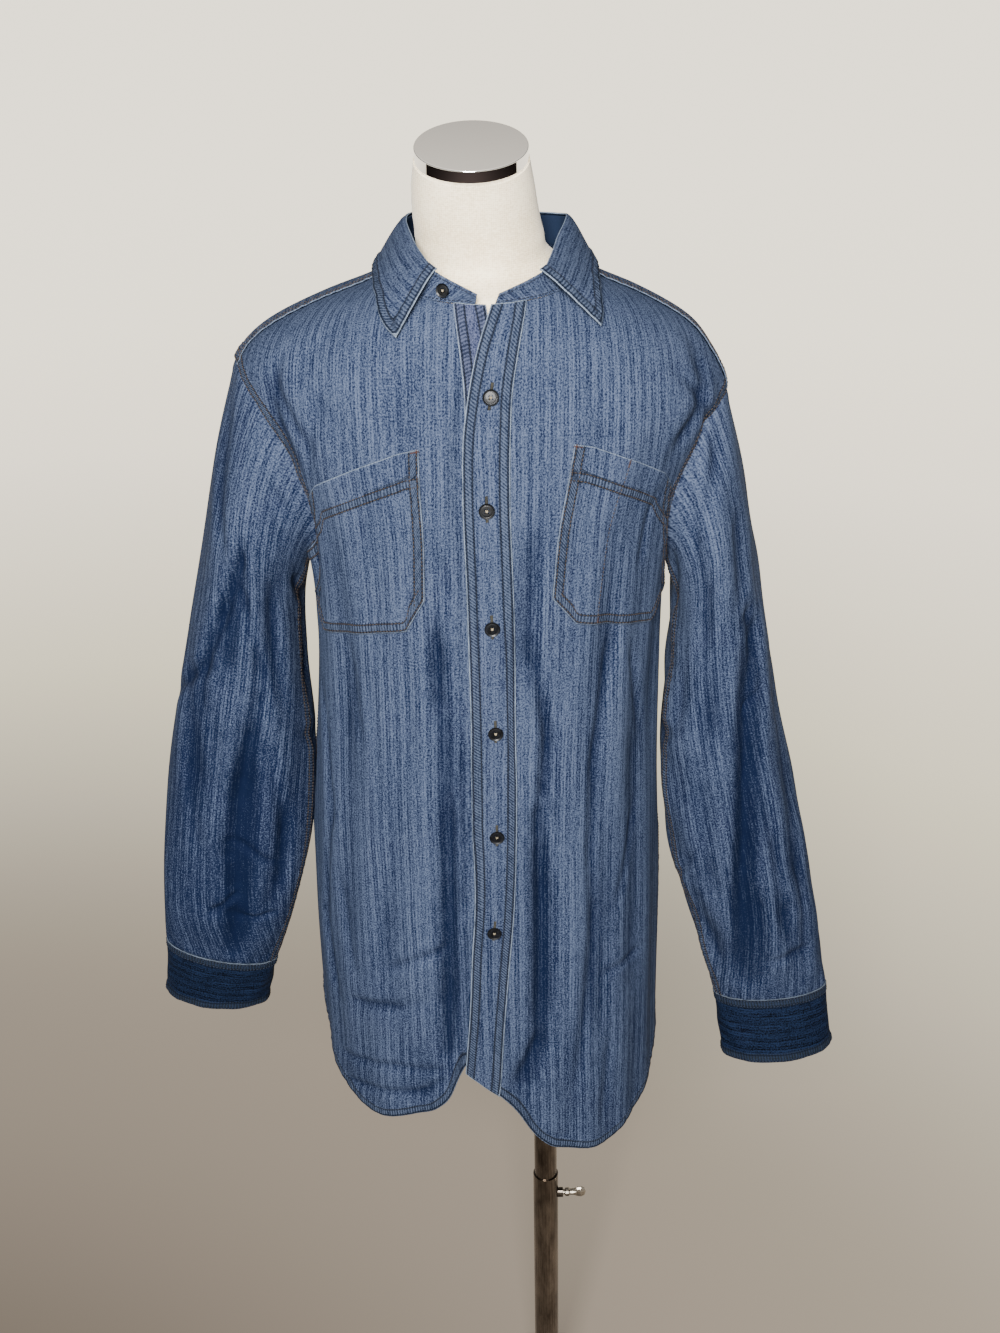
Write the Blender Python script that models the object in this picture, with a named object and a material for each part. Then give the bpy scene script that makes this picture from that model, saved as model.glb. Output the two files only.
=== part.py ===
"""A denim shirt worn by a limbless dress form, on a telescopic pole stand.

Metres, +Z up. The origin is the centre of the base plate's underside, on the pole's axis. The shirt's
front faces -Y, and +X is the wearer's left. The figure stands a little to -X of the pole.

The trunk is one skin, body(turn, z). turn is an angle in degrees round the trunk, 0 at the centre
front, 90 at the wearer's left side seam and -90 at the right one. Each panel is a grid of (turn, z)
places on that skin, and its wall lies between two lifts off it, so panels meet at their seams, and what
is sewn on a panel is made from the panel's own points, lifted. Each sleeve is a skin of its own, with
places (around, down): around is 0 at the shoulder and 0.25 in front, down is 0 at the armhole.
"""

import math

import bmesh
import bpy
import numpy as np
from mathutils import Vector

# Cloth: how thick a wall is, and how far two pieces stay apart
CLOTH = 0.0014
BAND_CLOTH = 0.0013
SEAM = 0.0003
TRIM = 0.00018  # what each of two pieces gives up at their seam
LAYER = 0.0062  # how far the under front lies below the upper one, where they overlap

# Trunk: rings of the skin, from the hem to the neck
MIDDLE_Y = -0.005
RING_COLUMNS = ("z", "centre", "right", "left", "front", "back", "squareness")
RINGS = (
    (0.580, -0.0555, 0.1720, 0.1700, 0.1430, 0.1240, 2.20),
    (0.720, -0.0555, 0.1725, 0.1705, 0.1430, 0.1250, 2.20),
    (0.850, -0.0555, 0.1720, 0.1695, 0.1430, 0.1230, 2.20),
    (0.950, -0.0550, 0.1685, 0.1650, 0.1430, 0.1190, 2.20),
    (1.050, -0.0535, 0.1605, 0.1600, 0.1430, 0.1150, 2.20),
    (1.150, -0.0515, 0.1560, 0.1600, 0.1435, 0.1160, 2.20),
    (1.220, -0.0500, 0.1600, 0.1630, 0.1435, 0.1190, 2.20),
    (1.270, -0.0490, 0.1700, 0.1710, 0.1415, 0.1190, 2.18),
    (1.318, -0.0480, 0.1920, 0.1920, 0.1360, 0.1160, 2.14),
    (1.351, -0.0475, 0.2070, 0.2060, 0.1305, 0.1110, 2.08),
    (1.383, -0.0470, 0.2120, 0.1930, 0.1220, 0.1040, 2.02),
    (1.409, -0.0465, 0.1880, 0.1710, 0.1130, 0.0940, 2.00),
    (1.432, -0.0455, 0.1400, 0.1300, 0.1020, 0.0830, 2.00),
    (1.448, -0.0450, 0.0960, 0.0930, 0.0930, 0.0740, 2.00),
    (1.458, -0.0445, 0.0790, 0.0790, 0.0870, 0.0690, 2.00),
    (1.480, -0.0440, 0.0690, 0.0700, 0.0780, 0.0600, 2.00),
)

# Armholes: an oval on the skin, round turn 90, for each side
PIT_ROUND = 0.5
ROUND_CELLS = 24  # cells in one turn round an armhole
ARMHOLES = {
    "right": {"top": 1.383, "pit": 1.215, "front": 30.0, "back": 27.0, "yoke": 20 / ROUND_CELLS},
    "left": {"top": 1.353, "pit": 1.205, "front": 23.0, "back": 25.0, "yoke": 21 / ROUND_CELLS},
}
ARMHOLE_POWER = 0.6
YOKE_FRONT = 1 / ROUND_CELLS  # where the yoke's front seam meets the armhole
SIGN = {"right": -1.0, "left": 1.0}

# Neckline and hems: height against turn
NECKLINE = ((0, 1.441), (20, 1.443), (45, 1.448), (70, 1.454), (90, 1.457), (135, 1.460), (180, 1.462))
NECK_SEAM_TURN = 80.0  # where the yoke's front seam meets the neckline
HEMS = {
    "right": (
        (0, 0.728), (8, 0.715), (12, 0.683), (16, 0.668), (24, 0.655), (30, 0.648), (39, 0.640),
        (46, 0.640), (55, 0.647), (63, 0.656), (72, 0.676), (82, 0.712), (90, 0.752),
    ),
    "left": (
        (-10, 0.724), (0, 0.690), (5, 0.668), (11, 0.636), (16, 0.620), (23, 0.608), (31, 0.600),
        (40, 0.597), (49, 0.605), (59, 0.616), (70, 0.636), (80, 0.666), (90, 0.706),
    ),
    "back": ((90, 0.730), (100, 0.694), (112, 0.664), (135, 0.628), (160, 0.612), (180, 0.608)),
}

# Button stand: its free and its sewn edge, and the under front's own edge and strip, as x against z
BAND_COLUMNS = ("z", "free edge", "sewn edge")
BAND = (
    (0.690, -0.0830, -0.0530),
    (0.722, -0.0802, -0.0485),
    (0.790, -0.0745, -0.0430),
    (0.855, -0.0710, -0.0372),
    (0.917, -0.0665, -0.0317),
    (0.992, -0.0662, -0.0283),
    (1.112, -0.0655, -0.0268),
    (1.225, -0.0662, -0.0282),
    (1.303, -0.0672, -0.0292),
    (1.346, -0.0654, -0.0280),
    (1.378, -0.0605, -0.0258),
    (1.411, -0.0524, -0.0195),
    (1.443, -0.0405, -0.0120),
)
UNDER_COLUMNS = ("z", "own edge", "strip's seam")
UNDER = (
    (0.700, -0.0500, -0.0820),
    (0.790, -0.0440, -0.0760),
    (0.900, -0.0350, -0.0670),
    (1.300, -0.0330, -0.0650),
    (1.385, -0.0350, -0.0645),
    (1.443, -0.0455, -0.0715),
)

# Pockets: turn and height at the corners, from the centre outwards
POCKETS = {
    "right": {
        "bottom": {"turn": (16.5, 22.5, 61.0, 73.0), "z": (1.210, 1.181, 1.156, 1.182)},
        "top": {"turn": (14.0, 19.0, 49.0, 56.0), "z": (1.336, 1.332, 1.296, 1.281)},
    },
    "left": {
        "bottom": {"turn": (17.4, 25.2, 60.0, 75.0), "z": (1.209, 1.184, 1.160, 1.180)},
        "top": {"turn": (19.0, 24.0, 52.0, 59.5), "z": (1.337, 1.333, 1.299, 1.284)},
    },
}

# Folds: soft troughs along a line, with a low ridge at either side. On the trunk a line goes from
# (turn, z) to (turn, z), on a sleeve from (around, down) to (around, down).
CREASE_COLUMNS = ("first", "second", "to first", "to second", "depth", "width")
BODY_CREASES = (
    # the right front: armhole, pocket's outer side, chest, beside the band, below the pocket, hem
    (-55.0, 1.386, -58.0, 1.295, 0.0045, 0.013),
    (-60.0, 1.276, -71.0, 1.175, 0.0060, 0.014),
    (-15.0, 1.403, -18.6, 1.335, 0.0015, 0.016),
    (-47.0, 1.419, -34.0, 1.339, 0.0020, 0.018),
    (-12.0, 1.280, -13.5, 1.118, 0.0030, 0.014),
    (-10.8, 1.157, -10.9, 0.742, 0.0045, 0.015),
    (-27.0, 1.152, -33.0, 0.812, 0.0025, 0.020),
    (-50.0, 1.146, -49.0, 0.817, 0.0035, 0.018),
    (-55.0, 0.755, -14.0, 0.801, 0.0022, 0.011),
    # the left front
    (68.0, 1.393, 53.0, 1.313, 0.0045, 0.014),
    (24.7, 1.384, 26.0, 1.330, 0.0015, 0.016),
    (12.8, 1.278, 10.1, 1.127, 0.0040, 0.013),
    (16.0, 1.125, 19.7, 1.015, 0.0030, 0.014),
    (15.4, 0.996, 15.5, 0.750, 0.0065, 0.015),
    (15.5, 0.750, 8.0, 0.689, 0.0040, 0.014),
    (34.5, 1.286, 40.0, 1.110, 0.0025, 0.016),
    (36.5, 1.064, 35.3, 0.707, 0.0030, 0.020),
    (58.0, 1.084, 52.0, 0.782, 0.0040, 0.020),
    # the sides
    (-88.0, 1.180, -84.0, 0.950, 0.0050, 0.018),
    (86.0, 1.170, 92.0, 0.930, 0.0055, 0.018),
    (104.0, 1.150, 112.0, 0.800, 0.0050, 0.020),
    (256.0, 1.160, 247.0, 0.780, 0.0055, 0.020),
    # the back: armholes, long falls from the yoke, waist
    (118.0, 1.345, 112.0, 1.250, 0.0045, 0.014),
    (240.0, 1.360, 247.0, 1.260, 0.0045, 0.014),
    (128.0, 1.300, 136.0, 0.980, 0.0040, 0.018),
    (155.0, 1.330, 150.0, 0.860, 0.0035, 0.020),
    (178.0, 1.200, 183.0, 0.720, 0.0045, 0.022),
    (205.0, 1.320, 212.0, 0.900, 0.0040, 0.018),
    (228.0, 1.280, 222.0, 1.000, 0.0035, 0.016),
    (140.0, 1.020, 200.0, 1.030, 0.0025, 0.014),
    (165.0, 0.920, 222.0, 0.900, 0.0020, 0.014),
)
SLEEVE_CREASES = {
    "right": (
        (0.063, 0.051, 0.168, 0.218, 0.0035, 0.013),
        (0.230, 0.208, 0.199, 0.388, 0.0045, 0.014),
        (0.268, 0.462, 0.289, 0.960, 0.0085, 0.015),
        (0.202, 0.818, 0.314, 0.866, 0.0025, 0.010),
        (0.345, 0.098, 0.321, 0.380, 0.0035, 0.016),
        (0.065, 0.384, 0.170, 0.596, 0.0035, 0.015),
        (0.370, 0.530, 0.349, 0.885, 0.0030, 0.014),
        (0.420, 0.440, 0.520, 0.470, 0.0030, 0.011),
        (0.700, 0.100, 0.800, 0.340, 0.0045, 0.016),
        (0.660, 0.420, 0.720, 0.660, 0.0060, 0.016),
        (0.820, 0.450, 0.880, 0.800, 0.0050, 0.016),
        (0.600, 0.700, 0.660, 0.900, 0.0030, 0.013),
        (0.950, 0.150, 0.900, 0.400, 0.0035, 0.016),
    ),
    "left": (
        (0.126, 0.050, 0.277, 0.090, 0.0030, 0.013),
        (0.155, 0.324, 0.303, 0.960, 0.0090, 0.016),
        (0.040, 0.438, 0.122, 0.817, 0.0040, 0.015),
        (0.301, 0.111, 0.290, 0.510, 0.0040, 0.016),
        (0.169, 0.800, 0.167, 0.955, 0.0040, 0.012),
        (0.141, 0.120, 0.167, 0.318, 0.0035, 0.014),
        (0.403, 0.739, 0.394, 0.939, 0.0030, 0.012),
        (0.410, 0.450, 0.510, 0.480, 0.0030, 0.011),
        (0.720, 0.080, 0.820, 0.320, 0.0045, 0.016),
        (0.680, 0.400, 0.740, 0.700, 0.0060, 0.016),
        (0.850, 0.420, 0.900, 0.820, 0.0045, 0.016),
        (0.600, 0.660, 0.650, 0.880, 0.0030, 0.013),
        (0.930, 0.180, 0.880, 0.400, 0.0035, 0.015),
    ),
}
# Metres of cloth in one unit of each place
BODY_SIZE = (0.165 * math.pi / 180, 1.0)
SLEEVE_SIZE = (0.36, 0.62)
RIDGE, LINE_FADE, END_SHARE = 0.6, 0.2, 0.35
SLEEVE_FADE = 0.06  # a sleeve's folds die out over this share of it, at its armhole and at its cuff

# Heights at the centre of the rows through the pockets' foot and mouth
BAND_FOOT, BAND_MOUTH = 1.175, 1.345
HEM_TURNS = (18, 25, 60, 72, 90)  # turns of a front's key columns at its hem, from the pocket outwards
POCKET_COLUMN_AT_NECK = 50.0  # turn at which the line of the pockets' inner edges meets the neckline
LAP_RISE = 0.016  # width over which the under front sinks below the upper one
NECK_RISE, NECK_EASE = 0.002, 0.010  # it comes up again at the neckline, over this much height
YOKE_DIP = 0.004  # how much lower the yoke's back seam is at its middle

# How many cells each stretch of a panel has
BELOW_PIT, POCKET_ROWS, CHEST_ROWS = 11, 5, 6
ARMHOLE_FRONT = POCKET_ROWS + CHEST_ROWS
ARMHOLE_BACK, ARMHOLE_YOKE = 8, 5
FRONT_CELLS = {"right": (2, 2, 1, 5, 1, 3), "left": (2, 3, 1, 5, 1, 3)}
SHOULDER_CELLS = 9
BACK_HALF = 10

# Sleeves: each row is a section, its outer and inner edge, its middle y and its half depth
SLEEVE_COLUMNS = ("down", "outer x", "outer z", "inner x", "inner z", "middle y", "depth")
SLEEVES = {
    "right": (
        (0.00, -0.2610, 1.383, -0.2020, 1.215, -0.004, 0.0760),
        (0.12, -0.2835, 1.310, -0.2160, 1.172, -0.006, 0.0720),
        (0.30, -0.3105, 1.192, -0.2195, 1.100, -0.010, 0.0640),
        (0.50, -0.3460, 1.050, -0.2170, 1.000, -0.016, 0.0570),
        (0.70, -0.3690, 0.925, -0.2290, 0.905, -0.022, 0.0510),
        (0.86, -0.3790, 0.850, -0.2490, 0.832, -0.026, 0.0440),
        (1.00, -0.3812, 0.796, -0.2730, 0.770, -0.030, 0.0260),
    ),
    "left": (
        (0.00, 0.1590, 1.353, 0.1090, 1.205, -0.004, 0.0760),
        (0.12, 0.1765, 1.278, 0.1180, 1.165, -0.006, 0.0720),
        (0.30, 0.1960, 1.181, 0.1170, 1.100, -0.010, 0.0640),
        (0.50, 0.2210, 1.050, 0.1120, 1.000, -0.016, 0.0580),
        (0.70, 0.2520, 0.915, 0.1245, 0.885, -0.022, 0.0520),
        (0.86, 0.2715, 0.822, 0.1500, 0.803, -0.026, 0.0440),
        (1.00, 0.2885, 0.724, 0.1740, 0.716, -0.030, 0.0250),
    ),
}
CAP_END = 0.16  # how far down the armhole's own shape still shows
SLEEVE_ROWS = 16

# Cuffs: the lower edge under each sleeve's end, and the overlap of the two ends at the back
CUFFS = {
    "right": {"outer": (-0.3920, 0.7255), "inner": (-0.2880, 0.7105), "middle": -0.016, "depth": 0.0300},
    "left": {"outer": (0.2970, 0.6570), "inner": (0.1845, 0.6465), "middle": -0.039, "depth": 0.0290},
}
CUFF_CELLS, CUFF_LAP, CUFF_LAP_START = 24, 2, 0.70
CUFF_LAYER = 0.0026
CUFF_ROWS = (0.006, 0.34, 0.67, 1.0)
PLACKET_ROWS, PLACKET_COLUMNS = 4, 2  # a sleeve's own placket, at its back above the cuff

# Collar: the stand rises from the neckline to the fold line; the leaf falls from there
FOLD_COLUMNS = ("turn", "x", "y", "z")
FOLDS = {
    "right": (
        (4, -0.0520, -0.1045, 1.4500),
        (12, -0.0640, -0.1020, 1.4560),
        (25, -0.0830, -0.0930, 1.4650),
        (45, -0.0960, -0.0700, 1.4740),
        (70, -0.1055, -0.0350, 1.4835),
        (90, -0.1100, -0.0040, 1.4885),
        (135, -0.0960, 0.0430, 1.4880),
        (180, -0.0430, 0.0600, 1.4830),
    ),
    "left": (
        (4, -0.0345, -0.1045, 1.4500),
        (12, -0.0220, -0.1020, 1.4550),
        (25, -0.0025, -0.0920, 1.4625),
        (45, 0.0060, -0.0700, 1.4680),
        (70, 0.0140, -0.0330, 1.4775),
        (90, 0.0215, -0.0020, 1.4850),
        (135, 0.0150, 0.0430, 1.4840),
        (180, -0.0430, 0.0600, 1.4830),
    ),
}
NECK_CENTRE = (-0.043, -0.012)
STAND_END, LEAF_END = 4.0, 25.0
STAND_CELLS, STAND_ROWS = 28, 3
STAND_CLOTH, STAND_GAP = 0.0016, 0.0008
LEAF_COLUMNS = ("turn", "edge turn", "edge z", "lift")
LEAVES = {
    "right": (
        (25, 23.0, 1.4162, 0.0050),
        (35, 37.5, 1.4330, 0.0050),
        (52, 57.0, 1.4440, 0.0050),
        (70, 76.0, 1.4490, 0.0050),
        (90, 93.0, 1.4500, 0.0050),
        (135, 135.0, 1.4450, 0.0060),
        (180, 180.0, 1.4430, 0.0070),
    ),
    "left": (
        (25, 35.0, 1.4189, 0.0050),
        (33, 43.5, 1.4310, 0.0050),
        (50, 58.5, 1.4420, 0.0050),
        (70, 76.0, 1.4480, 0.0050),
        (90, 93.0, 1.4500, 0.0050),
        (135, 135.0, 1.4450, 0.0060),
        (180, 180.0, 1.4430, 0.0070),
    ),
}
LEAF_RISE, LEAF_ROLL, LEAF_PATH = 0.0022, 0.0070, (0.0, 0.07, 0.18, 0.38, 0.68, 1.0)
# The collar's button lies on the middle of a patch of the stand
COLLAR_BUTTON = {"turns": (336.0, 341.0, 346.0), "ups": (0.2, 0.5, 0.8), "lift": 0.0004, "scale": 0.85}

# Form: how far the jersey lies inside the shirt's skin, and the neck's rings above it
FORM_COLUMNS = ("z", "inset at the sides", "inset before and behind")
FORM = (
    (0.800, 0.0200, 0.0220),
    (0.880, 0.0170, 0.0200),
    (0.960, 0.0240, 0.0250),
    (1.040, 0.0330, 0.0300),
    (1.120, 0.0260, 0.0240),
    (1.200, 0.0160, 0.0150),
    (1.270, 0.0130, 0.0120),
    (1.320, 0.0110, 0.0115),
    (1.355, 0.0085, 0.0120),
    (1.385, 0.0048, 0.0120),
    (1.410, 0.0026, 0.0110),
    (1.430, 0.0030, 0.0105),
    (1.444, 0.0036, 0.0110),
)
NECK_COLUMNS = ("z", "centre x", "centre y", "half width", "half depth", "tilt")
NECK = (
    (1.462, -0.0480, -0.0060, 0.0590, 0.0600, 8.0),
    (1.482, -0.0500, -0.0100, 0.0530, 0.0540, 12.0),
    (1.500, -0.0525, -0.0140, 0.0515, 0.0515, 15.0),
    (1.520, -0.0540, -0.0190, 0.0498, 0.0500, 17.0),
    (1.540, -0.0545, -0.0247, 0.0466, 0.0471, 18.0),
)
FORM_SIDES = 26
CAP = {"radius": 0.0457, "height": 0.0115, "rim": 0.0012, "foot": 0.001, "crown": 0.0006, "gap": 0.0004}
CAP_RIM_ANGLES = (0.4, 0.8, 1.2, math.pi / 2)

# Stand
BASE = {"radius": 0.145, "height": 0.010, "edge": 0.003, "hub radius": 0.026, "hub height": 0.022}
OUTER_TUBE = {"radius": 0.0140, "bore": 0.0128, "foot": 0.0103, "top": 0.440}
INNER_TUBE = {"radius": 0.0125, "bore": 0.0113, "foot": 0.170, "top": 1.060}
SOCKET = {"radius": 0.0130, "top": 1.0603, "below": 0.02}  # the form's bore, on the pole's end
SCREW_Z = 0.410
BOSS = {"start": 0.01295, "end": 0.0195, "radius": 0.0058}
SCREW_HOLE = {"start": 0.004, "end": 0.03, "radius": 0.0034}
SCREW = ((0.0128, 0.0030), (0.0215, 0.0030), (0.0225, 0.0048), (0.0260, 0.0048), (0.0275, 0.0034),
         (0.0320, 0.0036), (0.0355, 0.0062), (0.0400, 0.0072), (0.0440, 0.0052), (0.0455, 0.0000))
WING_FROM, WING_EASE, WING_FLATNESS = 0.0320, 0.004, 0.45
SCREW_SIDES, BOSS_SIDES, CAP_SIDES, BASE_SIDES = 12, 16, 28, 36
TUBE_SIDES = 24
LEVEL_TURN = 0.37  # a lying turned piece is rolled by this share of a side, so that no face is level

# Buttons
BUTTON = {"radius": 0.0067, "height": 0.0030, "rim": 0.0013, "well": 0.0009, "sides": 12}
CUFF_BUTTON_SCALE = 0.80
BUTTON_HEIGHTS = (1.3755, 1.2878, 1.1868, 1.0885, 0.9843, 0.8813)
SIT = 0.0004  # from a button's back to the cloth below it

COLOURS = {  # base colour, roughness, metallic
    "denim": ((0.105, 0.165, 0.262), 0.85, 0.0),
    "jersey": ((0.80, 0.77, 0.70), 0.90, 0.0),
    "chrome": ((0.78, 0.78, 0.78), 0.08, 1.0),
    "steel": ((0.52, 0.50, 0.48), 0.35, 1.0),
    "cast steel": ((0.20, 0.20, 0.20), 0.50, 1.0),
    "horn resin": ((0.020, 0.022, 0.030), 0.25, 0.0),
}


def column(rows, names, name, at):
    """One named column of a table, read along a smooth curve through its rows, and straight on past them."""
    table = np.asarray(rows, float)
    places, values = table[:, 0], table[:, names.index(name)]
    slopes = np.gradient(values, places)
    asked, at = at, np.clip(at, places[0], places[-1])
    i = np.clip(np.searchsorted(places, at, side="right") - 1, 0, len(places) - 2)
    span = places[i + 1] - places[i]
    k = (at - places[i]) / span
    start = (1 + 2 * k) * (1 - k) ** 2 * values[i] + k * (1 - k) ** 2 * span * slopes[i]
    end = k * k * (3 - 2 * k) * values[i + 1] + k * k * (k - 1) * span * slopes[i + 1]
    return start + end + (asked - at) * np.where(asked > at, slopes[-1], slopes[0])


def ring_value(name, z):
    return column(RINGS, RING_COLUMNS, name, z)


def half_width(turn, z):
    return np.where(np.sin(np.radians(turn)) < 0, ring_value("right", z), ring_value("left", z))


def bare_body(turn, z):
    """The trunk's skin without its folds."""
    turn, z = np.broadcast_arrays(np.asarray(turn, float), np.asarray(z, float))
    sine, cosine = np.sin(np.radians(turn)), np.cos(np.radians(turn))
    power = 2 / ring_value("squareness", z)
    depth = np.where(cosine > 0, ring_value("front", z), ring_value("back", z))
    x = ring_value("centre", z) + half_width(turn, z) * np.sign(sine) * np.abs(sine) ** power
    y = MIDDLE_Y - depth * np.sign(cosine) * np.abs(cosine) ** power
    return np.stack([x, y, z], axis=-1)


def turn_at(x, z):
    """The turn of the place on the front of the skin with this x and z."""
    offset = x - ring_value("centre", z)
    width = np.where(offset < 0, ring_value("right", z), ring_value("left", z))
    sine = np.clip(np.abs(offset) / width, 0, 1) ** (ring_value("squareness", z) / 2)
    return np.sign(offset) * np.degrees(np.arcsin(sine))


def crease_height(rows, first, second, turn_round, size):
    """How far a table of folds pushes a skin out; turn_round is what the first place comes round after."""
    first, second = np.broadcast_arrays(np.asarray(first, float), np.asarray(second, float))
    height = np.zeros(first.shape)
    for from_first, from_second, to_first, to_second, depth, width in rows:
        along = np.array([(to_first - from_first) * size[0], (to_second - from_second) * size[1]])
        u = ((first - from_first + turn_round / 2) % turn_round - turn_round / 2) * size[0]
        v = (second - from_second) * size[1]
        share = np.clip((u * along[0] + v * along[1]) / (along @ along), 0, 1)
        q = ((u - share * along[0]) ** 2 + (v - share * along[1]) ** 2) / width**2
        fade = END_SHARE + (1 - END_SHARE) * smooth(share / LINE_FADE) * smooth((1 - share) / LINE_FADE)
        height -= depth * fade * (1 - RIDGE * q) * np.exp(-q)
    return height


def body(turn, z):
    """The trunk's skin, folds and all."""
    return lifted(bare_body, turn, z, crease_height(BODY_CREASES, turn, z, 360, BODY_SIZE), BODY_STEP)


def lifted(skin, first, second, lift, step):
    """Places on a skin, moved off it by lift along its outward normal."""
    first, second = np.asarray(first, float), np.asarray(second, float)
    across = skin(first + step[0], second) - skin(first - step[0], second)
    along = skin(first, second + step[1]) - skin(first, second - step[1])
    normal = np.cross(across, along)
    normal /= np.linalg.norm(normal, axis=-1, keepdims=True)
    return skin(first, second) + np.asarray(lift)[..., None] * normal


def body_wall(grid, low, high):
    """The two faces of a wall on the trunk, at two lifts."""
    turn, z = grid[..., 0], grid[..., 1]
    flat = np.zeros_like(turn)
    return [lifted(body, turn, z, flat + lift, BODY_STEP) for lift in (low, high)]


def armhole(side, around):
    """(turn, z) on an armhole: around is 0 at the shoulder, 0.25 in front, 0.5 at the armpit."""
    hole = ARMHOLES[side]
    angle = 2 * np.pi * np.asarray(around, float)
    middle, half = (hole["top"] + hole["pit"]) / 2, (hole["top"] - hole["pit"]) / 2
    reach = np.where(np.sin(angle) > 0, -hole["front"], hole["back"])
    turn = 90 + reach * np.abs(np.sin(angle)) ** ARMHOLE_POWER
    return np.stack([SIGN[side] * turn, middle + half * np.cos(angle)], axis=-1)


def spread(keys, cells):
    """Points along a line of key points, with that many cells between each two."""
    points = [keys[0]]
    for start, end, count in zip(keys, keys[1:], cells):
        points += [start + (end - start) * (k + 1) / count for k in range(count)]
    return np.array(points)


def edge_x(side, z):
    """The x of a front's centre edge, and of the line where its band is sewn."""
    if side == "left":
        return column(BAND, BAND_COLUMNS, "free edge", z), column(BAND, BAND_COLUMNS, "sewn edge", z)
    return column(UNDER, UNDER_COLUMNS, "own edge", z), column(UNDER, UNDER_COLUMNS, "strip's seam", z)


def hem_height(name, turn):
    places, heights = np.array(HEMS[name], float).T
    return np.interp(turn, places, heights)


def side_seam(side, share):
    """Height on a side seam, share 0 at the hem and 1 at the armpit."""
    foot = 0.5 * (hem_height(side, 90) + hem_height("back", 90))
    return foot + (ARMHOLES[side]["pit"] - foot) * share


def yoke_front_seam(side, share):
    """(turn, z) on the yoke's front seam, from the neckline to the armhole."""
    neck = np.array([SIGN[side] * NECK_SEAM_TURN, neck_height(NECK_SEAM_TURN)])
    return neck + (armhole(side, YOKE_FRONT) - neck) * np.asarray(share)[..., None]


def neck_height(turn):
    places, heights = np.array(NECKLINE, float).T
    return np.interp(np.abs(turn), places, heights)


def in_front(places):
    """(turn, z) places given as (x, z) instead."""
    return np.stack([bare_body(places[..., 0], places[..., 1])[..., 0], places[..., 1]], axis=-1)


def key_turns(side, row, heights):
    """Turns of a row's key columns: centre edge, band's seam, the pocket's four corners, side."""
    edge, band = (SIGN[side] * turn_at(x, heights) for x in edge_x(side, heights))
    return [float(edge), float(band), *row]


def front_grid(side):
    """(turn, z) for each point of a front, rows from the hem to the neckline and the yoke's seam."""
    sign, cells = SIGN[side], FRONT_CELLS[side]
    pocket = POCKETS[side]
    bottom, top = pocket["bottom"], pocket["top"]
    # The rows that the whole front is hung between: hem, pocket's foot, pocket's mouth, neckline
    hem_turns = spread(key_turns(side, HEM_TURNS, hem_height(side, 0)), cells)
    hem = np.stack([hem_turns, hem_height(side, hem_turns)], axis=-1)
    hem[-1, 1] = side_seam(side, 0)
    foot_z = spread([BAND_FOOT, BAND_FOOT, *bottom["z"], ARMHOLES[side]["pit"]], cells)
    foot = np.stack([spread(key_turns(side, (*bottom["turn"], 90), BAND_FOOT), cells), foot_z], axis=-1)
    mouth_corner = armhole(side, PIT_ROUND - POCKET_ROWS / ROUND_CELLS) * (sign, 1)
    mouth_z = spread([BAND_MOUTH, BAND_MOUTH, *top["z"], mouth_corner[1]], cells)
    mouth_turns = spread(key_turns(side, (*top["turn"], mouth_corner[0]), BAND_MOUTH), cells)
    mouth = np.stack([mouth_turns, mouth_z], axis=-1)
    neck_cells = sum(cells[:3])
    neck_keys = key_turns(side, (POCKET_COLUMN_AT_NECK, NECK_SEAM_TURN), NECKLINE[0][1])
    neck_turns = spread(neck_keys, cells[:3])
    neck = np.stack([neck_turns, neck_height(neck_turns)], axis=-1)
    shoulder = yoke_front_seam(side, np.arange(1, SHOULDER_CELLS + 1) / SHOULDER_CELLS) * (sign, 1)
    crown = np.concatenate([neck, shoulder])

    rows = []
    for k in range(BELOW_PIT):
        row = hem + (foot - hem) * k / BELOW_PIT
        row[-1] = 90, side_seam(side, k / BELOW_PIT)
        rows.append(fitted(side, row, cells))
    for k in range(POCKET_ROWS):
        row = foot + (mouth - foot) * k / POCKET_ROWS
        row[-1] = armhole(side, PIT_ROUND - k / ROUND_CELLS) * (sign, 1)
        rows.append(fitted(side, row, cells))
    low, high = in_front(mouth * (sign, 1)), in_front(crown * (sign, 1))
    shares = np.concatenate([np.zeros(neck_cells), np.linspace(0, 1, len(hem) - neck_cells)])
    for k in range(CHEST_ROWS):
        row = low + (high - low) * k / CHEST_ROWS
        corner = armhole(side, PIT_ROUND - (POCKET_ROWS + k) / ROUND_CELLS)
        row += shares[:, None] * (in_front(corner) - row[-1])
        row = np.stack([sign * turn_at(row[:, 0], row[:, 1]), row[:, 1]], axis=-1)
        row[-1] = corner * (sign, 1)
        rows.append(fitted(side, row, cells))
    rows.append(crown)
    return np.array(rows) * (sign, 1)


def fitted(side, row, cells):
    """A row of a front, moved along it so that its first columns follow the centre edge and the band."""
    band_at, pocket_at = cells[0], cells[0] + cells[1]
    first, second = (SIGN[side] * turn_at(x, row[0, 1]) for x in edge_x(side, row[0, 1]))
    row[: band_at + 1, 0] = np.linspace(first, second, band_at + 1)
    row[band_at : pocket_at + 1, 0] = np.linspace(second, row[pocket_at, 0], cells[1] + 1)
    return row


def under_lift(grid):
    """How far the under front is sunk, so that the upper one passes over it."""
    x, z = bare_body(grid[..., 0], grid[..., 1])[..., 0], grid[..., 1]
    free = column(BAND, BAND_COLUMNS, "free edge", z)
    below_neck = smooth((NECKLINE[0][1] + NECK_RISE - z) / NECK_EASE)
    return -LAYER * smooth((x - free + LAP_RISE) / LAP_RISE) * below_neck


# How far apart two places on a skin are for its slope to be read
BODY_STEP = (0.4, 0.001)
SLEEVE_STEP = (0.004, 0.004)
CUFF_STEP = (0.004, 0.01)
STAND_STEP = (0.5, 0.02)
LEAF_STEP = (0.5, 0.01)


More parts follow.
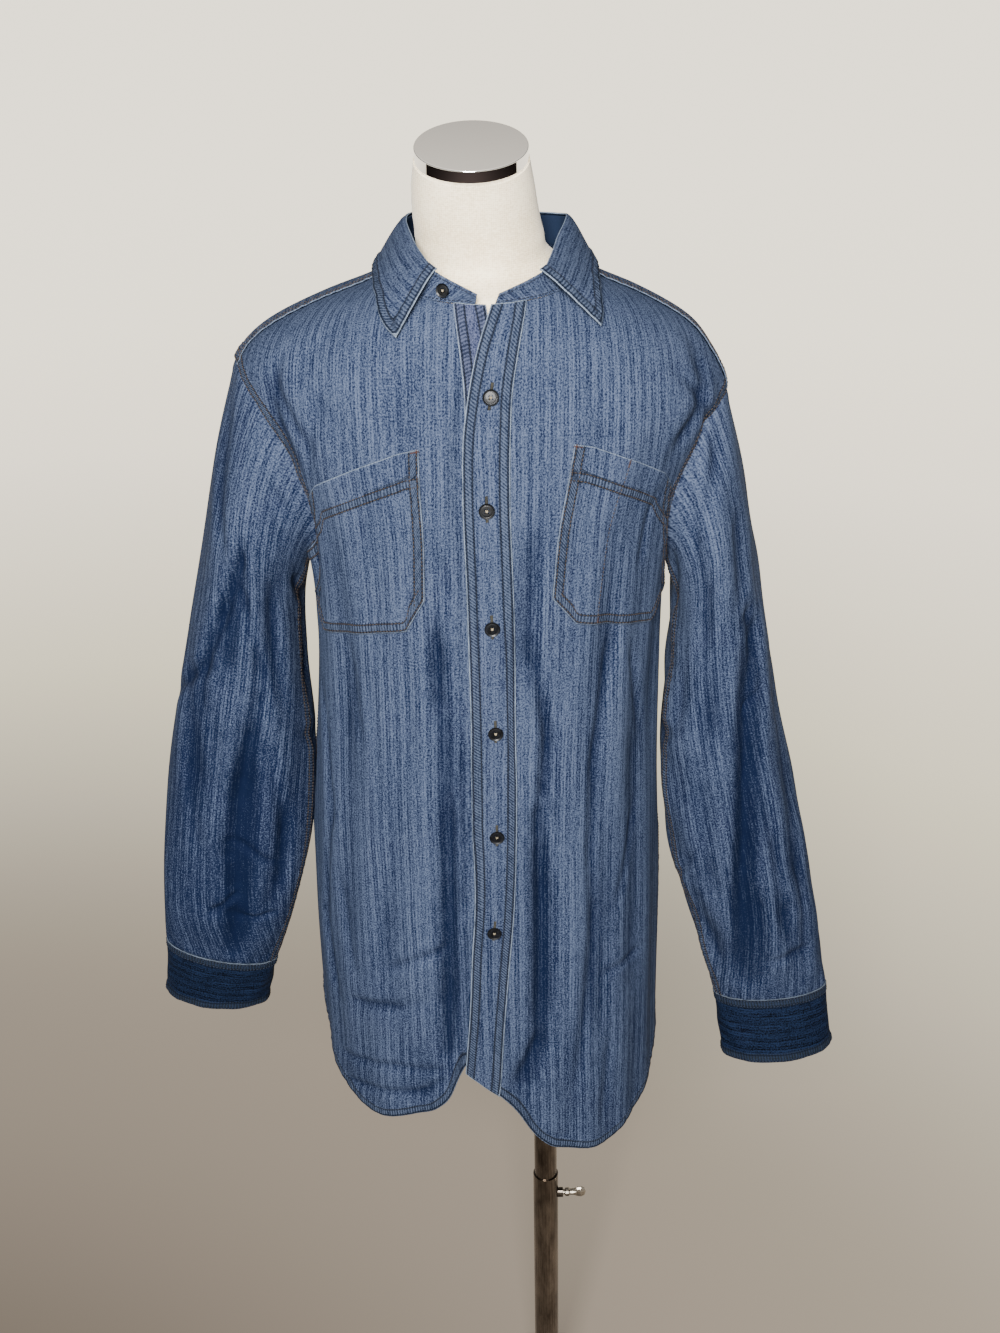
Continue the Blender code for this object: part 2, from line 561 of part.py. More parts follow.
def smooth(share):
    share = np.clip(share, 0, 1)
    return share * share * (3 - 2 * share)


def yoke_seam():
    """(turn, z) along the back's seam with the yoke, from the left armhole round to the right one."""
    left = armhole("left", ARMHOLES["left"]["yoke"])
    right = armhole("right", ARMHOLES["right"]["yoke"]) + (360, 0)
    middle = np.array([180, (left[1] + right[1]) / 2 - YOKE_DIP])
    half = spread([left, middle, right], (BACK_HALF, BACK_HALF))
    half[:, 1] = np.interp(half[:, 0], [left[0], 180, right[0]], [left[1], middle[1], right[1]])
    return half


def back_grid():
    """(turn, z) for each point of the back, turn running from 90 at the left side to 270."""
    columns = 2 * BACK_HALF
    share = np.arange(columns + 1) / columns
    seam = yoke_seam()
    turns = 90 + 180 * share
    ends = [side_seam("left", 0), side_seam("right", 0)]
    hem = hem_height("back", 180 - np.abs(turns - 180))
    hem[[0, -1]] = ends
    pits = ARMHOLES["left"]["pit"], ARMHOLES["right"]["pit"]
    armpits = pits[0] + (pits[1] - pits[0]) * share
    rows = [np.stack([turns, hem + (armpits - hem) * k / BELOW_PIT], axis=-1) for k in range(BELOW_PIT)]
    for k in range(ARMHOLE_BACK):
        up = k / ARMHOLE_BACK
        row = np.stack([turns, armpits], axis=-1) * (1 - up) + seam * up
        left = armhole("left", PIT_ROUND + (ARMHOLES["left"]["yoke"] - PIT_ROUND) * up)
        right = armhole("right", PIT_ROUND + (ARMHOLES["right"]["yoke"] - PIT_ROUND) * up) + (360, 0)
        row += (1 - share)[:, None] ** 2 * (left - row[0]) + share[:, None] ** 2 * (right - row[-1])
        rows.append(row)
    rows.append(seam)
    return np.array(rows)


def yoke_grid():
    """(turn, z) for each point of the yoke, rows from the neckline outwards."""
    armholes = []
    for side in ("left", "right"):
        rounds = np.linspace(1 + YOKE_FRONT, ARMHOLES[side]["yoke"], ARMHOLE_YOKE + 1)
        armholes.append(armhole(side, rounds) + ((360, 0) if side == "right" else (0, 0)))
    outer = np.concatenate([armholes[0], yoke_seam()[1:-1], armholes[1][::-1]])
    turns = np.linspace(NECK_SEAM_TURN, 360 - NECK_SEAM_TURN, len(outer))
    neck = np.stack([turns, neck_height(180 - np.abs(180 - turns))], axis=-1)
    rows = [neck + (outer - neck) * k / SHOULDER_CELLS for k in range(SHOULDER_CELLS + 1)]
    return np.array(rows)


def sleeve_rounds(side):
    """Where a sleeve's columns lie round its armhole, so that they meet the panels' own."""
    yoke = ARMHOLES[side]["yoke"]
    keys = [0, YOKE_FRONT, PIT_ROUND, yoke, 1]
    return spread(keys, (1, ARMHOLE_FRONT, ARMHOLE_BACK, ARMHOLE_YOKE - 1))[:-1]


def ellipse(edges, around):
    """A point of a flattened ring: edges holds outer x and z, inner x and z, middle y and half depth."""
    ox, oz, ix, iz, middle, depth = edges
    cosine, sine = np.cos(2 * np.pi * around), np.sin(2 * np.pi * around)
    x, z = (ox + ix) / 2 + cosine * (ox - ix) / 2, (oz + iz) / 2 + cosine * (oz - iz) / 2
    return np.stack([x, middle - sine * depth, z], axis=-1)


def bare_sleeve(side, around, down):
    """A sleeve's skin without its folds."""
    around, down = np.broadcast_arrays(np.asarray(around, float), np.asarray(down, float))
    tube = ellipse([column(SLEEVES[side], SLEEVE_COLUMNS, n, down) for n in SLEEVE_COLUMNS[1:]], around)
    hole = body(*np.moveaxis(armhole(side, around), -1, 0))
    share = np.clip(1 - down / CAP_END, 0, None)[..., None] ** 2
    return tube + (hole - tube) * share


def sleeve_skin(side):
    """A sleeve's skin as a function of (around, down), folds and all."""

    def bare(around, down):
        return bare_sleeve(side, around, down)

    def skin(around, down):
        height = crease_height(SLEEVE_CREASES[side], around, down, 1, SLEEVE_SIZE)
        height = height * smooth(down / SLEEVE_FADE) * smooth((1 - down) / SLEEVE_FADE)
        return lifted(bare, around, down, SIGN[side] * height, SLEEVE_STEP)

    return skin


def sleeve_wall(side, grid, low, high):
    """The two faces of a wall on a sleeve, at two lifts."""
    around, down = grid[..., 0], grid[..., 1]
    turn = SIGN[side] * np.ones_like(around)
    return [lifted(sleeve_skin(side), around, down, turn * lift, SLEEVE_STEP) for lift in (low, high)]


def clear_scene():
    for old in list(bpy.data.objects):
        bpy.data.objects.remove(old, do_unlink=True)


def finish_of(name):
    """The material of that name, made when it is first asked for."""
    if name in bpy.data.materials:
        return bpy.data.materials[name]
    colour, roughness, metallic = COLOURS[name]
    material = bpy.data.materials.new(name)
    material.use_nodes = True
    shader = material.node_tree.nodes["Principled BSDF"]
    shader.inputs["Base Color"].default_value = (*colour, 1)
    shader.inputs["Roughness"].default_value = roughness
    shader.inputs["Metallic"].default_value = metallic
    return material


def add_piece(name, points, faces, finish, crease=40):
    """A named object from points and faces, its faces turned outwards."""
    mesh = bpy.data.meshes.new(name)
    mesh.from_pydata([tuple(map(float, p)) for p in points], [], faces)
    shape = bmesh.new()
    shape.from_mesh(mesh)
    bmesh.ops.recalc_face_normals(shape, faces=shape.faces)
    if shape.calc_volume(signed=True) < 0:
        bmesh.ops.reverse_faces(shape, faces=shape.faces)
    shape.to_mesh(mesh)
    shape.free()
    mesh.shade_smooth()
    mesh.set_sharp_from_angle(angle=math.radians(crease))
    own = finish_of(finish).copy()
    own.name = f"{name} {finish}"
    mesh.materials.append(own)
    piece = bpy.data.objects.new(name, mesh)
    bpy.context.scene.collection.objects.link(piece)
    return piece


def wall(name, inner, outer, finish="denim", tube=False):
    """A piece of cloth between two grids of points; a tube joins its last column to its first."""
    rows, columns = inner.shape[:2]
    points = np.concatenate([inner.reshape(-1, 3), outer.reshape(-1, 3)])
    count = rows * columns

    def at(layer, row, col):
        return layer * count + row * columns + col % columns

    across = range(columns if tube else columns - 1)
    faces = []
    for layer in (0, 1):
        for row in range(rows - 1):
            faces += [
                (at(layer, row, c), at(layer, row, c + 1), at(layer, row + 1, c + 1), at(layer, row + 1, c))
                for c in across
            ]
    for row in (0, rows - 1):
        faces += [(at(0, row, c), at(0, row, c + 1), at(1, row, c + 1), at(1, row, c)) for c in across]
    if not tube:
        for col in (0, columns - 1):
            faces += [
                (at(0, r, col), at(0, r + 1, col), at(1, r + 1, col), at(1, r, col)) for r in range(rows - 1)
            ]
    return add_piece(name, points, faces, finish)


def trimmed(grids, edges, by=TRIM):
    """The grids with some of their edges drawn in a little; edges holds foot, head, start or end."""
    for grid in grids:
        strips = {
            "foot": (grid[0], grid[1]),
            "head": (grid[-1], grid[-2]),
            "start": (grid[:, 0], grid[:, 1]),
            "end": (grid[:, -1], grid[:, -2]),
        }
        for edge in edges:
            outermost, inner = strips[edge]
            step = inner - outermost
            outermost += by * step / np.linalg.norm(step, axis=-1, keepdims=True)
    return grids


def lathe(name, profile, finish, sides=TUBE_SIDES, axis="Z", squash=None):
    """A solid turned from (along, radius) points, closed on the axis or, if its ends meet, round it."""
    along, radius = np.array(profile, float).T
    points, faces, rings = [], [], []
    for place, reach in zip(along, radius):
        start = len(points)
        count = 1 if reach == 0 else sides
        for k in range(count):
            angle = 2 * math.pi * (k + (LEVEL_TURN if axis == "X" else 0)) / sides
            flat = squash(place) if squash else 1
            u, v = reach * math.cos(angle) * flat, reach * math.sin(angle)
            points.append((u, v, place) if axis == "Z" else (place, u, v))
        rings.append([start + k % count for k in range(sides)])
    pairs = list(zip(rings, rings[1:]))
    if radius[0] and radius[-1]:
        pairs.append((rings[-1], rings[0]))
    for low, high in pairs:
        for k in range(sides):
            n = (k + 1) % sides
            corners = dict.fromkeys((low[k], low[n], high[n], high[k]))
            faces.append(tuple(corners))
    return add_piece(name, points, faces, finish)


def combine(piece, operation, other):
    """A Boolean on a piece, applied at once, and its helper removed."""
    step = piece.modifiers.new(operation.title(), "BOOLEAN")
    step.operation = operation
    step.solver = "EXACT"
    step.object = other
    graph = bpy.context.evaluated_depsgraph_get()
    mesh = bpy.data.meshes.new_from_object(piece.evaluated_get(graph))
    piece.modifiers.clear()
    piece.data = mesh
    bpy.data.objects.remove(other, do_unlink=True)


def make_fronts():
    grids = {}
    for side in ("right", "left"):
        grid = front_grid(side)
        drop = under_lift(grid) if side == "right" else np.zeros(grid.shape[:2])
        grids[side] = grid, drop
        faces = trimmed(body_wall(grid, drop - CLOTH, drop), ("end",))
        shoulder = slice(sum(FRONT_CELLS[side][:3]), None)
        trimmed([face[:, shoulder] for face in faces], ("head",))
        wall(f"front_{side}", *faces)
    return grids


def strip_on(grid, drop, rows, columns, thickness):
    """The two faces of a piece that lies on part of a panel."""
    part = grid[rows, columns]
    low = drop[rows, columns] + SEAM
    return body_wall(part, low, low + thickness)


def make_bands(grids):
    everything = slice(None)
    grid, drop = grids["left"]
    band = slice(0, FRONT_CELLS["left"][0] + 1)
    faces = strip_on(grid, drop, everything, band, BAND_CLOTH)
    wall("front_band", *faces)
    under = strip_on(*grids["right"], everything, slice(0, FRONT_CELLS["right"][0] + 1), BAND_CLOTH)
    wall("under_band", *under)
    return faces[1]


def make_pockets(grids):
    for side, (grid, drop) in grids.items():
        start = sum(FRONT_CELLS[side][:2])
        columns = slice(start, start + sum(FRONT_CELLS[side][2:5]) + 1)
        rows = slice(BELOW_PIT, BELOW_PIT + POCKET_ROWS + 1)
        wall(f"pocket_{side}", *strip_on(grid, drop, rows, columns, BAND_CLOTH))


def make_back_and_yoke():
    back = trimmed(body_wall(back_grid(), -CLOTH, 0), ("head", "start", "end"))
    wall("back", *back)
    yoke = trimmed(body_wall(yoke_grid(), -CLOTH, 0), ("head", "start", "end"))
    wall("yoke", *yoke)


def sleeve_grid(side):
    rounds = sleeve_rounds(side)
    downs = np.linspace(0, 1, SLEEVE_ROWS + 1)
    return np.stack(np.broadcast_arrays(rounds[None, :], downs[:, None]), axis=-1)


def make_sleeves():
    for side in ("right", "left"):
        grid = sleeve_grid(side)
        faces = sleeve_wall(side, grid, -CLOTH, 0)
        hole = armhole(side, grid[:1, :, 0])
        faces[0][0], faces[1][0] = (face[0] for face in body_wall(hole, -CLOTH, 0))
        trimmed(faces, ("foot",), 2 * TRIM)
        trimmed(faces, ("head",))
        wall(f"sleeve_{side}", *faces, tube=True)


def cuff_skin(side):
    """A cuff's skin as a function of (around, down): down is 0 at the sleeve and 1 at the lower edge."""
    top, cuff = SLEEVES[side][-1][1:], CUFFS[side]
    foot = (*cuff["outer"], *cuff["inner"], cuff["middle"], cuff["depth"])

    def skin(around, down):
        return ellipse([start + (end - start) * down for start, end in zip(top, foot)], around)

    return skin


def make_cuffs():
    for side in ("right", "left"):
        steps = np.arange(CUFF_CELLS + CUFF_LAP + 1)
        rounds = CUFF_LAP_START + steps / CUFF_CELLS
        layer = smooth((steps - CUFF_CELLS + 2) / 2) - smooth((CUFF_LAP + 2 - steps) / 2)
        grid = np.stack(np.broadcast_arrays(rounds[None, :], np.array(CUFF_ROWS)[:, None]), axis=-1)
        skin = cuff_skin(side)
        lifts = (layer * CUFF_LAYER / 2 + part + 0 * grid[..., 0] for part in (-CLOTH, 0))
        faces = [lifted(skin, grid[..., 0], grid[..., 1], SIGN[side] * lift, CUFF_STEP) for lift in lifts]
        wall(f"cuff_{side}", *faces)
        lap = faces[1][1:3, -3:]
        seat = lap[:, 1].mean(axis=0)
        outward = seat - faces[1].mean(axis=(0, 1))
        make_button(f"cuff_button_{side}", seat, outward, lap, CUFF_BUTTON_SCALE)


def make_sleeve_plackets():
    for side in ("right", "left"):
        grid = sleeve_grid(side)
        start = int(np.argmin(np.abs(grid[0, :, 0] - CUFF_LAP_START)))
        part = grid[-PLACKET_ROWS:, start : start + PLACKET_COLUMNS + 1]
        faces = sleeve_wall(side, part, SEAM, SEAM + BAND_CLOTH)
        wall(f"sleeve_placket_{side}", *trimmed(faces, ("head",), 3 * TRIM))


def make_button(name, seat, outward, cloth, scale=1.0):
    """A button on a patch of cloth; outward only says which way the patch faces."""
    across, along = cloth[0, -1] - cloth[0, 0], cloth[-1, 0] - cloth[0, 0]
    normal = Vector(np.cross(across, along)).normalized()
    if normal.dot(Vector(outward)) < 0:
        normal.negate()
    radius, height = BUTTON["radius"] * scale, BUTTON["height"] * scale
    rim, well = BUTTON["rim"] * scale, BUTTON["well"] * scale
    profile = (
        (0, 0),
        (0, radius - rim),
        (height * 0.35, radius),
        (height - rim * 0.3, radius),
        (height, radius - rim * 0.6),
        (height - well, radius - rim * 1.7),
        (height - well, 0),
    )
    piece = lathe(name, profile, "horn resin", BUTTON["sides"])
    piece.location = Vector(seat) + normal * SIT
    piece.rotation_euler = normal.to_track_quat("Z", "Y").to_euler()


def make_front_buttons(band):
    """Buttons down the middle of the band; band is the band's outer face."""
    middle = band.shape[1] // 2
    heights = band[:, middle, 2]
    for number, z in enumerate(BUTTON_HEIGHTS, 1):
        row = int(np.searchsorted(heights, z))
        low, high = band[row - 1, middle], band[row, middle]
        seat = low + (high - low) * (z - low[2]) / (high[2] - low[2])
        make_button(f"button_{number}", seat, (0, -1, 0), band[row - 1 : row + 1])


def on_side(tables, names, name, bearing):
    """A named column of a table kept for each side, read at a bearing from 0 to 360."""
    near = 180 - np.abs(180 - bearing)
    sides = [column(tables[side], names, name, near) for side in ("right", "left")]
    return np.where(bearing > 180, *sides)


def inwards(points):
    """The level direction from each point to the neck's middle."""
    way = np.array([*NECK_CENTRE, 0]) - points * (1, 1, 0)
    return way / np.linalg.norm(way, axis=-1, keepdims=True)


def stand_skin(bearing, up):
    """The collar stand: bearing is the turn from 0 to 360, up is 0 at the neckline and 1 at the fold."""
    bearing, up = np.broadcast_arrays(np.asarray(bearing, float), np.asarray(up, float))
    foot = body(bearing, neck_height(180 - np.abs(180 - bearing))) + (0, 0, STAND_GAP)
    fold = np.stack([on_side(FOLDS, FOLD_COLUMNS, name, bearing) for name in FOLD_COLUMNS[1:]], axis=-1)
    return foot + (fold - foot) * up[..., None]


def leaf_edge(bearing):
    """Where the leaf's outer edge lies above the trunk."""
    turn, z, lift = (on_side(LEAVES, LEAF_COLUMNS, name, bearing) for name in LEAF_COLUMNS[1:])
    return lifted(body, np.where(bearing > 180, 360 - turn, turn), z, lift, BODY_STEP)


def leaf_skin(bearing, down):
    """The collar leaf: down is 0 over the stand and 1 at the outer edge."""
    bearing, down = np.broadcast_arrays(np.asarray(bearing, float), np.asarray(down, float))
    rim = stand_skin(bearing, 1.0)
    start = rim + (0, 0, LEAF_RISE) + inwards(rim) * STAND_CLOTH / 2
    roll = start - inwards(rim) * LEAF_ROLL + (0, 0, LEAF_RISE)
    end = leaf_edge(bearing)
    k = down[..., None]
    return start * (1 - k) ** 2 + 2 * roll * k * (1 - k) + end * k * k


def make_collar():
    bearings = np.linspace(STAND_END, 360 - STAND_END, STAND_CELLS + 1)
    ups = np.linspace(0, 1, STAND_ROWS + 1)
    grid = np.broadcast_arrays(bearings[None, :], ups[:, None])
    flat = np.zeros(grid[0].shape)
    stand = [lifted(stand_skin, *grid, flat + lift, STAND_STEP) for lift in (-STAND_CLOTH, 0)]
    wall("collar_stand", *stand)
    bearings = np.linspace(LEAF_END, 360 - LEAF_END, STAND_CELLS + 1)
    grid = np.broadcast_arrays(bearings[None, :], np.array(LEAF_PATH)[:, None])
    flat = np.zeros(grid[0].shape)
    wall("collar_leaf", *(lifted(leaf_skin, *grid, flat + lift, LEAF_STEP) for lift in (0, STAND_CLOTH)))
    spots = np.broadcast_arrays(np.array([COLLAR_BUTTON["turns"]]), np.array(COLLAR_BUTTON["ups"])[:, None])
    patch = lifted(stand_skin, *spots, np.full((3, 3), COLLAR_BUTTON["lift"]), STAND_STEP)
    make_button("collar_button", patch[1, 1], (0, -1, 0), patch, COLLAR_BUTTON["scale"])


def neck_ring(row, turns):
    z, x, y, width, depth, tilt = row
    sine, cosine = np.sin(np.radians(turns)), np.cos(np.radians(turns))
    drop = math.tan(math.radians(tilt)) * depth * cosine
    return np.stack([x + width * sine, y - depth * cosine, z - drop], axis=-1)


def make_form():
    turns = np.arange(FORM_SIDES) * 360 / FORM_SIDES
    facing = np.abs(np.cos(np.radians(turns)))
    rings = []
    for z, side_inset, front_inset in FORM:
        inset = side_inset + (front_inset - side_inset) * facing
        rings.append(lifted(bare_body, turns, np.full(FORM_SIDES, z), -inset, BODY_STEP))
    rings[0][:, 2] = FORM[0][0]
    rings += [neck_ring(row, turns) for row in NECK]
    points = np.concatenate(rings)
    faces = [tuple(range(FORM_SIDES)), tuple(range(len(points) - FORM_SIDES, len(points)))]
    for row in range(len(rings) - 1):
        for k in range(FORM_SIDES):
            low, n = row * FORM_SIDES, (k + 1) % FORM_SIDES
            faces.append((low + k, low + n, low + n + FORM_SIDES, low + k + FORM_SIDES))
    form = add_piece("form", points, faces, "jersey", 60)
    foot, top, radius = FORM[0][0] - SOCKET["below"], SOCKET["top"], SOCKET["radius"]
    socket = lathe("socket", [(foot, 0), (foot, radius), (top, radius), (top, 0)], "steel")
    combine(form, "DIFFERENCE", socket)


def make_cap():
    z, x, y, _, _, tilt = NECK[-1]
    radius, height, rim = CAP["radius"], CAP["height"], CAP["rim"]
    profile = [(0, 0), (0, radius - CAP["foot"]), (CAP["foot"], radius), (height - rim, radius)]
    for angle in CAP_RIM_ANGLES:
        profile.append((height - rim + rim * math.sin(angle), radius - rim + rim * math.cos(angle)))
    profile.append((height + CAP["crown"], 0))
    cap = lathe("neck_cap", profile, "chrome", CAP_SIDES)
    lean = math.radians(tilt)
    cap.rotation_euler = (lean, 0, 0)
    cap.location = Vector((x, y, z)) + Vector((0, -math.sin(lean), math.cos(lean))) * CAP["gap"]


def make_stand():
    thick, edge, hub, tall = BASE["height"], BASE["edge"], BASE["hub radius"], BASE["hub height"]
    wide, bore = BASE["radius"], OUTER_TUBE["radius"] + SEAM
    profile = [(0, 0), (0, wide - edge), (edge, wide), (thick - edge, wide), (thick, wide - edge)]
    profile += [(thick, hub), (tall - edge, hub), (tall, hub - edge), (tall, bore), (thick, bore), (thick, 0)]
    lathe("base_plate", profile, "cast steel", BASE_SIDES)

    radius, inner = OUTER_TUBE["radius"], OUTER_TUBE["bore"]
    foot, top = OUTER_TUBE["foot"], OUTER_TUBE["top"]
    tube = lathe("pole_outer", [(foot, inner), (foot, radius), (top, radius), (top, inner)], "steel")
    start, end, reach = BOSS["start"], BOSS["end"], BOSS["radius"]
    boss = lathe("boss", [(start, 0), (start, reach), (end, reach), (end, 0)], "steel", BOSS_SIDES, "X")
    boss.location.z = SCREW_Z
    bpy.context.view_layer.update()
    combine(tube, "UNION", boss)
    start, end, reach = SCREW_HOLE["start"], SCREW_HOLE["end"], SCREW_HOLE["radius"]
    hole = lathe("hole", [(start, 0), (start, reach), (end, reach), (end, 0)], "steel", SCREW_SIDES, "X")
    hole.location.z = SCREW_Z
    bpy.context.view_layer.update()
    combine(tube, "DIFFERENCE", hole)

    def wing(along):
        return 1 - (1 - WING_FLATNESS) * smooth((along - WING_FROM) / WING_EASE)

    screw = lathe("thumb_screw", [(SCREW[0][0], 0), *SCREW], "steel", SCREW_SIDES, "X", wing)
    screw.location.z = SCREW_Z
    radius, inner = INNER_TUBE["radius"], INNER_TUBE["bore"]
    foot, top = INNER_TUBE["foot"], INNER_TUBE["top"]
    lathe("pole_inner", [(foot, inner), (foot, radius), (top, radius), (top, inner)], "steel")


def main():
    clear_scene()
    make_stand()
    make_form()
    make_cap()
    fronts = make_fronts()
    band = make_bands(fronts)
    make_pockets(fronts)
    make_back_and_yoke()
    make_sleeves()
    make_sleeve_plackets()
    make_cuffs()
    make_collar()
    make_front_buttons(band)


main()
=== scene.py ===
"""The looks of a denim shirt on a limbless dress form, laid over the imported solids.

Metres, +Z up, the shirt's front faces -Y. The trunk of the shirt is one skin, body(turn, z), and each sleeve
is a skin (around, down) of its own. Every sheet of cloth is a fine grid on its skin. Its lift has the folds,
the bulk of its seams and the puckers along its stitching, and its UV map holds the flat cut in metres.
"""

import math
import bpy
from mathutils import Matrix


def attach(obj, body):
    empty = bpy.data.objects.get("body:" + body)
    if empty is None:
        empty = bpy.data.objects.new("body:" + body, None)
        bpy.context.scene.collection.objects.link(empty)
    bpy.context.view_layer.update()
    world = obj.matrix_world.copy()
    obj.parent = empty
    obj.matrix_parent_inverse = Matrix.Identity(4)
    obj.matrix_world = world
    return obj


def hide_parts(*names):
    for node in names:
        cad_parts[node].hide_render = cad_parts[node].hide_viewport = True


bl_info = {
    "name": "Denim shirt on a dress form",
    "version": (1, 0, 0),
    "blender": (4, 5, 0),
    "location": "View3D > Sidebar > Denim shirt",
    "description": "Makes the cloth, stitching, buttons, form, stand and studio of a denim shirt",
    "category": "Object",
}

import bmesh
import bpy
import numpy as np
from mathutils import Matrix, Vector

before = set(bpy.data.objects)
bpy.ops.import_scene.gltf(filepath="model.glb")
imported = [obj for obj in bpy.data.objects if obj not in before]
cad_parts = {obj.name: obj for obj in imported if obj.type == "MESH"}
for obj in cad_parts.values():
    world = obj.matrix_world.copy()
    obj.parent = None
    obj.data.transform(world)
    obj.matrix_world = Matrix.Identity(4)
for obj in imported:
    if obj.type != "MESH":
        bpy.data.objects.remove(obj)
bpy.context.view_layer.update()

# Cloth
CLOTH = 0.0014
BAND_CLOTH = 0.0013
SEAM = 0.0003
LAYER = 0.0062  # how far the under front lies below the upper one, where they overlap

# Trunk: rings of the skin, from the hem to the neck
MIDDLE_Y = -0.005
RING_COLUMNS = ("z", "centre", "right", "left", "front", "back", "squareness")
RINGS = (
    (0.580, -0.0555, 0.1720, 0.1700, 0.1430, 0.1240, 2.20),
    (0.720, -0.0555, 0.1725, 0.1705, 0.1430, 0.1250, 2.20),
    (0.850, -0.0555, 0.1720, 0.1695, 0.1430, 0.1230, 2.20),
    (0.950, -0.0550, 0.1685, 0.1650, 0.1430, 0.1190, 2.20),
    (1.050, -0.0535, 0.1605, 0.1600, 0.1430, 0.1150, 2.20),
    (1.150, -0.0515, 0.1560, 0.1600, 0.1435, 0.1160, 2.20),
    (1.220, -0.0500, 0.1600, 0.1630, 0.1435, 0.1190, 2.20),
    (1.270, -0.0490, 0.1700, 0.1710, 0.1415, 0.1190, 2.18),
    (1.318, -0.0480, 0.1920, 0.1920, 0.1360, 0.1160, 2.14),
    (1.351, -0.0475, 0.2070, 0.2060, 0.1305, 0.1110, 2.08),
    (1.383, -0.0470, 0.2120, 0.1930, 0.1220, 0.1040, 2.02),
    (1.409, -0.0465, 0.1880, 0.1710, 0.1130, 0.0940, 2.00),
    (1.432, -0.0455, 0.1400, 0.1300, 0.1020, 0.0830, 2.00),
    (1.448, -0.0450, 0.0960, 0.0930, 0.0930, 0.0740, 2.00),
    (1.458, -0.0445, 0.0790, 0.0790, 0.0870, 0.0690, 2.00),
    (1.480, -0.0440, 0.0690, 0.0700, 0.0780, 0.0600, 2.00),
)

# Armholes: an oval on the skin, round turn 90, for each side
PIT_ROUND = 0.5
ARMHOLES = {
    "right": {"top": 1.383, "pit": 1.215, "front": 30.0, "back": 27.0, "yoke": 20 / 24},
    "left": {"top": 1.353, "pit": 1.205, "front": 23.0, "back": 25.0, "yoke": 21 / 24},
}
ARMHOLE_POWER = 0.6
YOKE_FRONT = 1 / 24  # where the yoke's front seam meets the armhole
SIGN = {"right": -1.0, "left": 1.0}

# Neckline and hems: height against turn
NECKLINE = ((0, 1.441), (20, 1.443), (45, 1.448), (70, 1.454), (90, 1.457), (135, 1.460), (180, 1.462))
NECK_SEAM_TURN = 80.0  # where the yoke's front seam meets the neckline
HEMS = {
    "right": (
        (0, 0.728), (8, 0.715), (12, 0.683), (16, 0.668), (24, 0.655), (30, 0.648), (39, 0.640), (46, 0.640),
        (55, 0.647), (63, 0.656), (72, 0.676), (82, 0.712), (90, 0.752),
    ),
    "left": (
        (-10, 0.724), (0, 0.690), (5, 0.668), (11, 0.636), (16, 0.620), (23, 0.608), (31, 0.600), (40, 0.597),
        (49, 0.605), (59, 0.616), (70, 0.636), (80, 0.666), (90, 0.706),
    ),
    "back": ((90, 0.730), (100, 0.694), (112, 0.664), (135, 0.628), (160, 0.612), (180, 0.608)),
}

# Button stand: its free and its sewn edge, and the under front's own edge and strip, as x against z
BAND_COLUMNS = ("z", "free edge", "sewn edge")
BAND = (
    (0.690, -0.0830, -0.0530),
    (0.722, -0.0802, -0.0485),
    (0.790, -0.0745, -0.0430),
    (0.855, -0.0710, -0.0372),
    (0.917, -0.0665, -0.0317),
    (0.992, -0.0662, -0.0283),
    (1.112, -0.0655, -0.0268),
    (1.225, -0.0662, -0.0282),
    (1.303, -0.0672, -0.0292),
    (1.346, -0.0654, -0.0280),
    (1.378, -0.0605, -0.0258),
    (1.411, -0.0524, -0.0195),
    (1.443, -0.0405, -0.0120),
)
UNDER_COLUMNS = ("z", "own edge", "strip's seam")
UNDER = (
    (0.700, -0.0500, -0.0820),
    (0.790, -0.0440, -0.0760),
    (0.900, -0.0350, -0.0670),
    (1.300, -0.0330, -0.0650),
    (1.385, -0.0350, -0.0645),
    (1.443, -0.0455, -0.0715),
)

# Pockets: turn and height at the corners, from the centre outwards
POCKETS = {
    "right": {
        "bottom": {"turn": (16.5, 22.5, 61.0, 73.0), "z": (1.210, 1.181, 1.156, 1.182)},
        "top": {"turn": (14.0, 19.0, 49.0, 56.0), "z": (1.336, 1.332, 1.296, 1.281)},
    },
    "left": {
        "bottom": {"turn": (17.4, 25.2, 60.0, 75.0), "z": (1.209, 1.184, 1.160, 1.180)},
        "top": {"turn": (19.0, 24.0, 52.0, 59.5), "z": (1.337, 1.333, 1.299, 1.284)},
    },
}

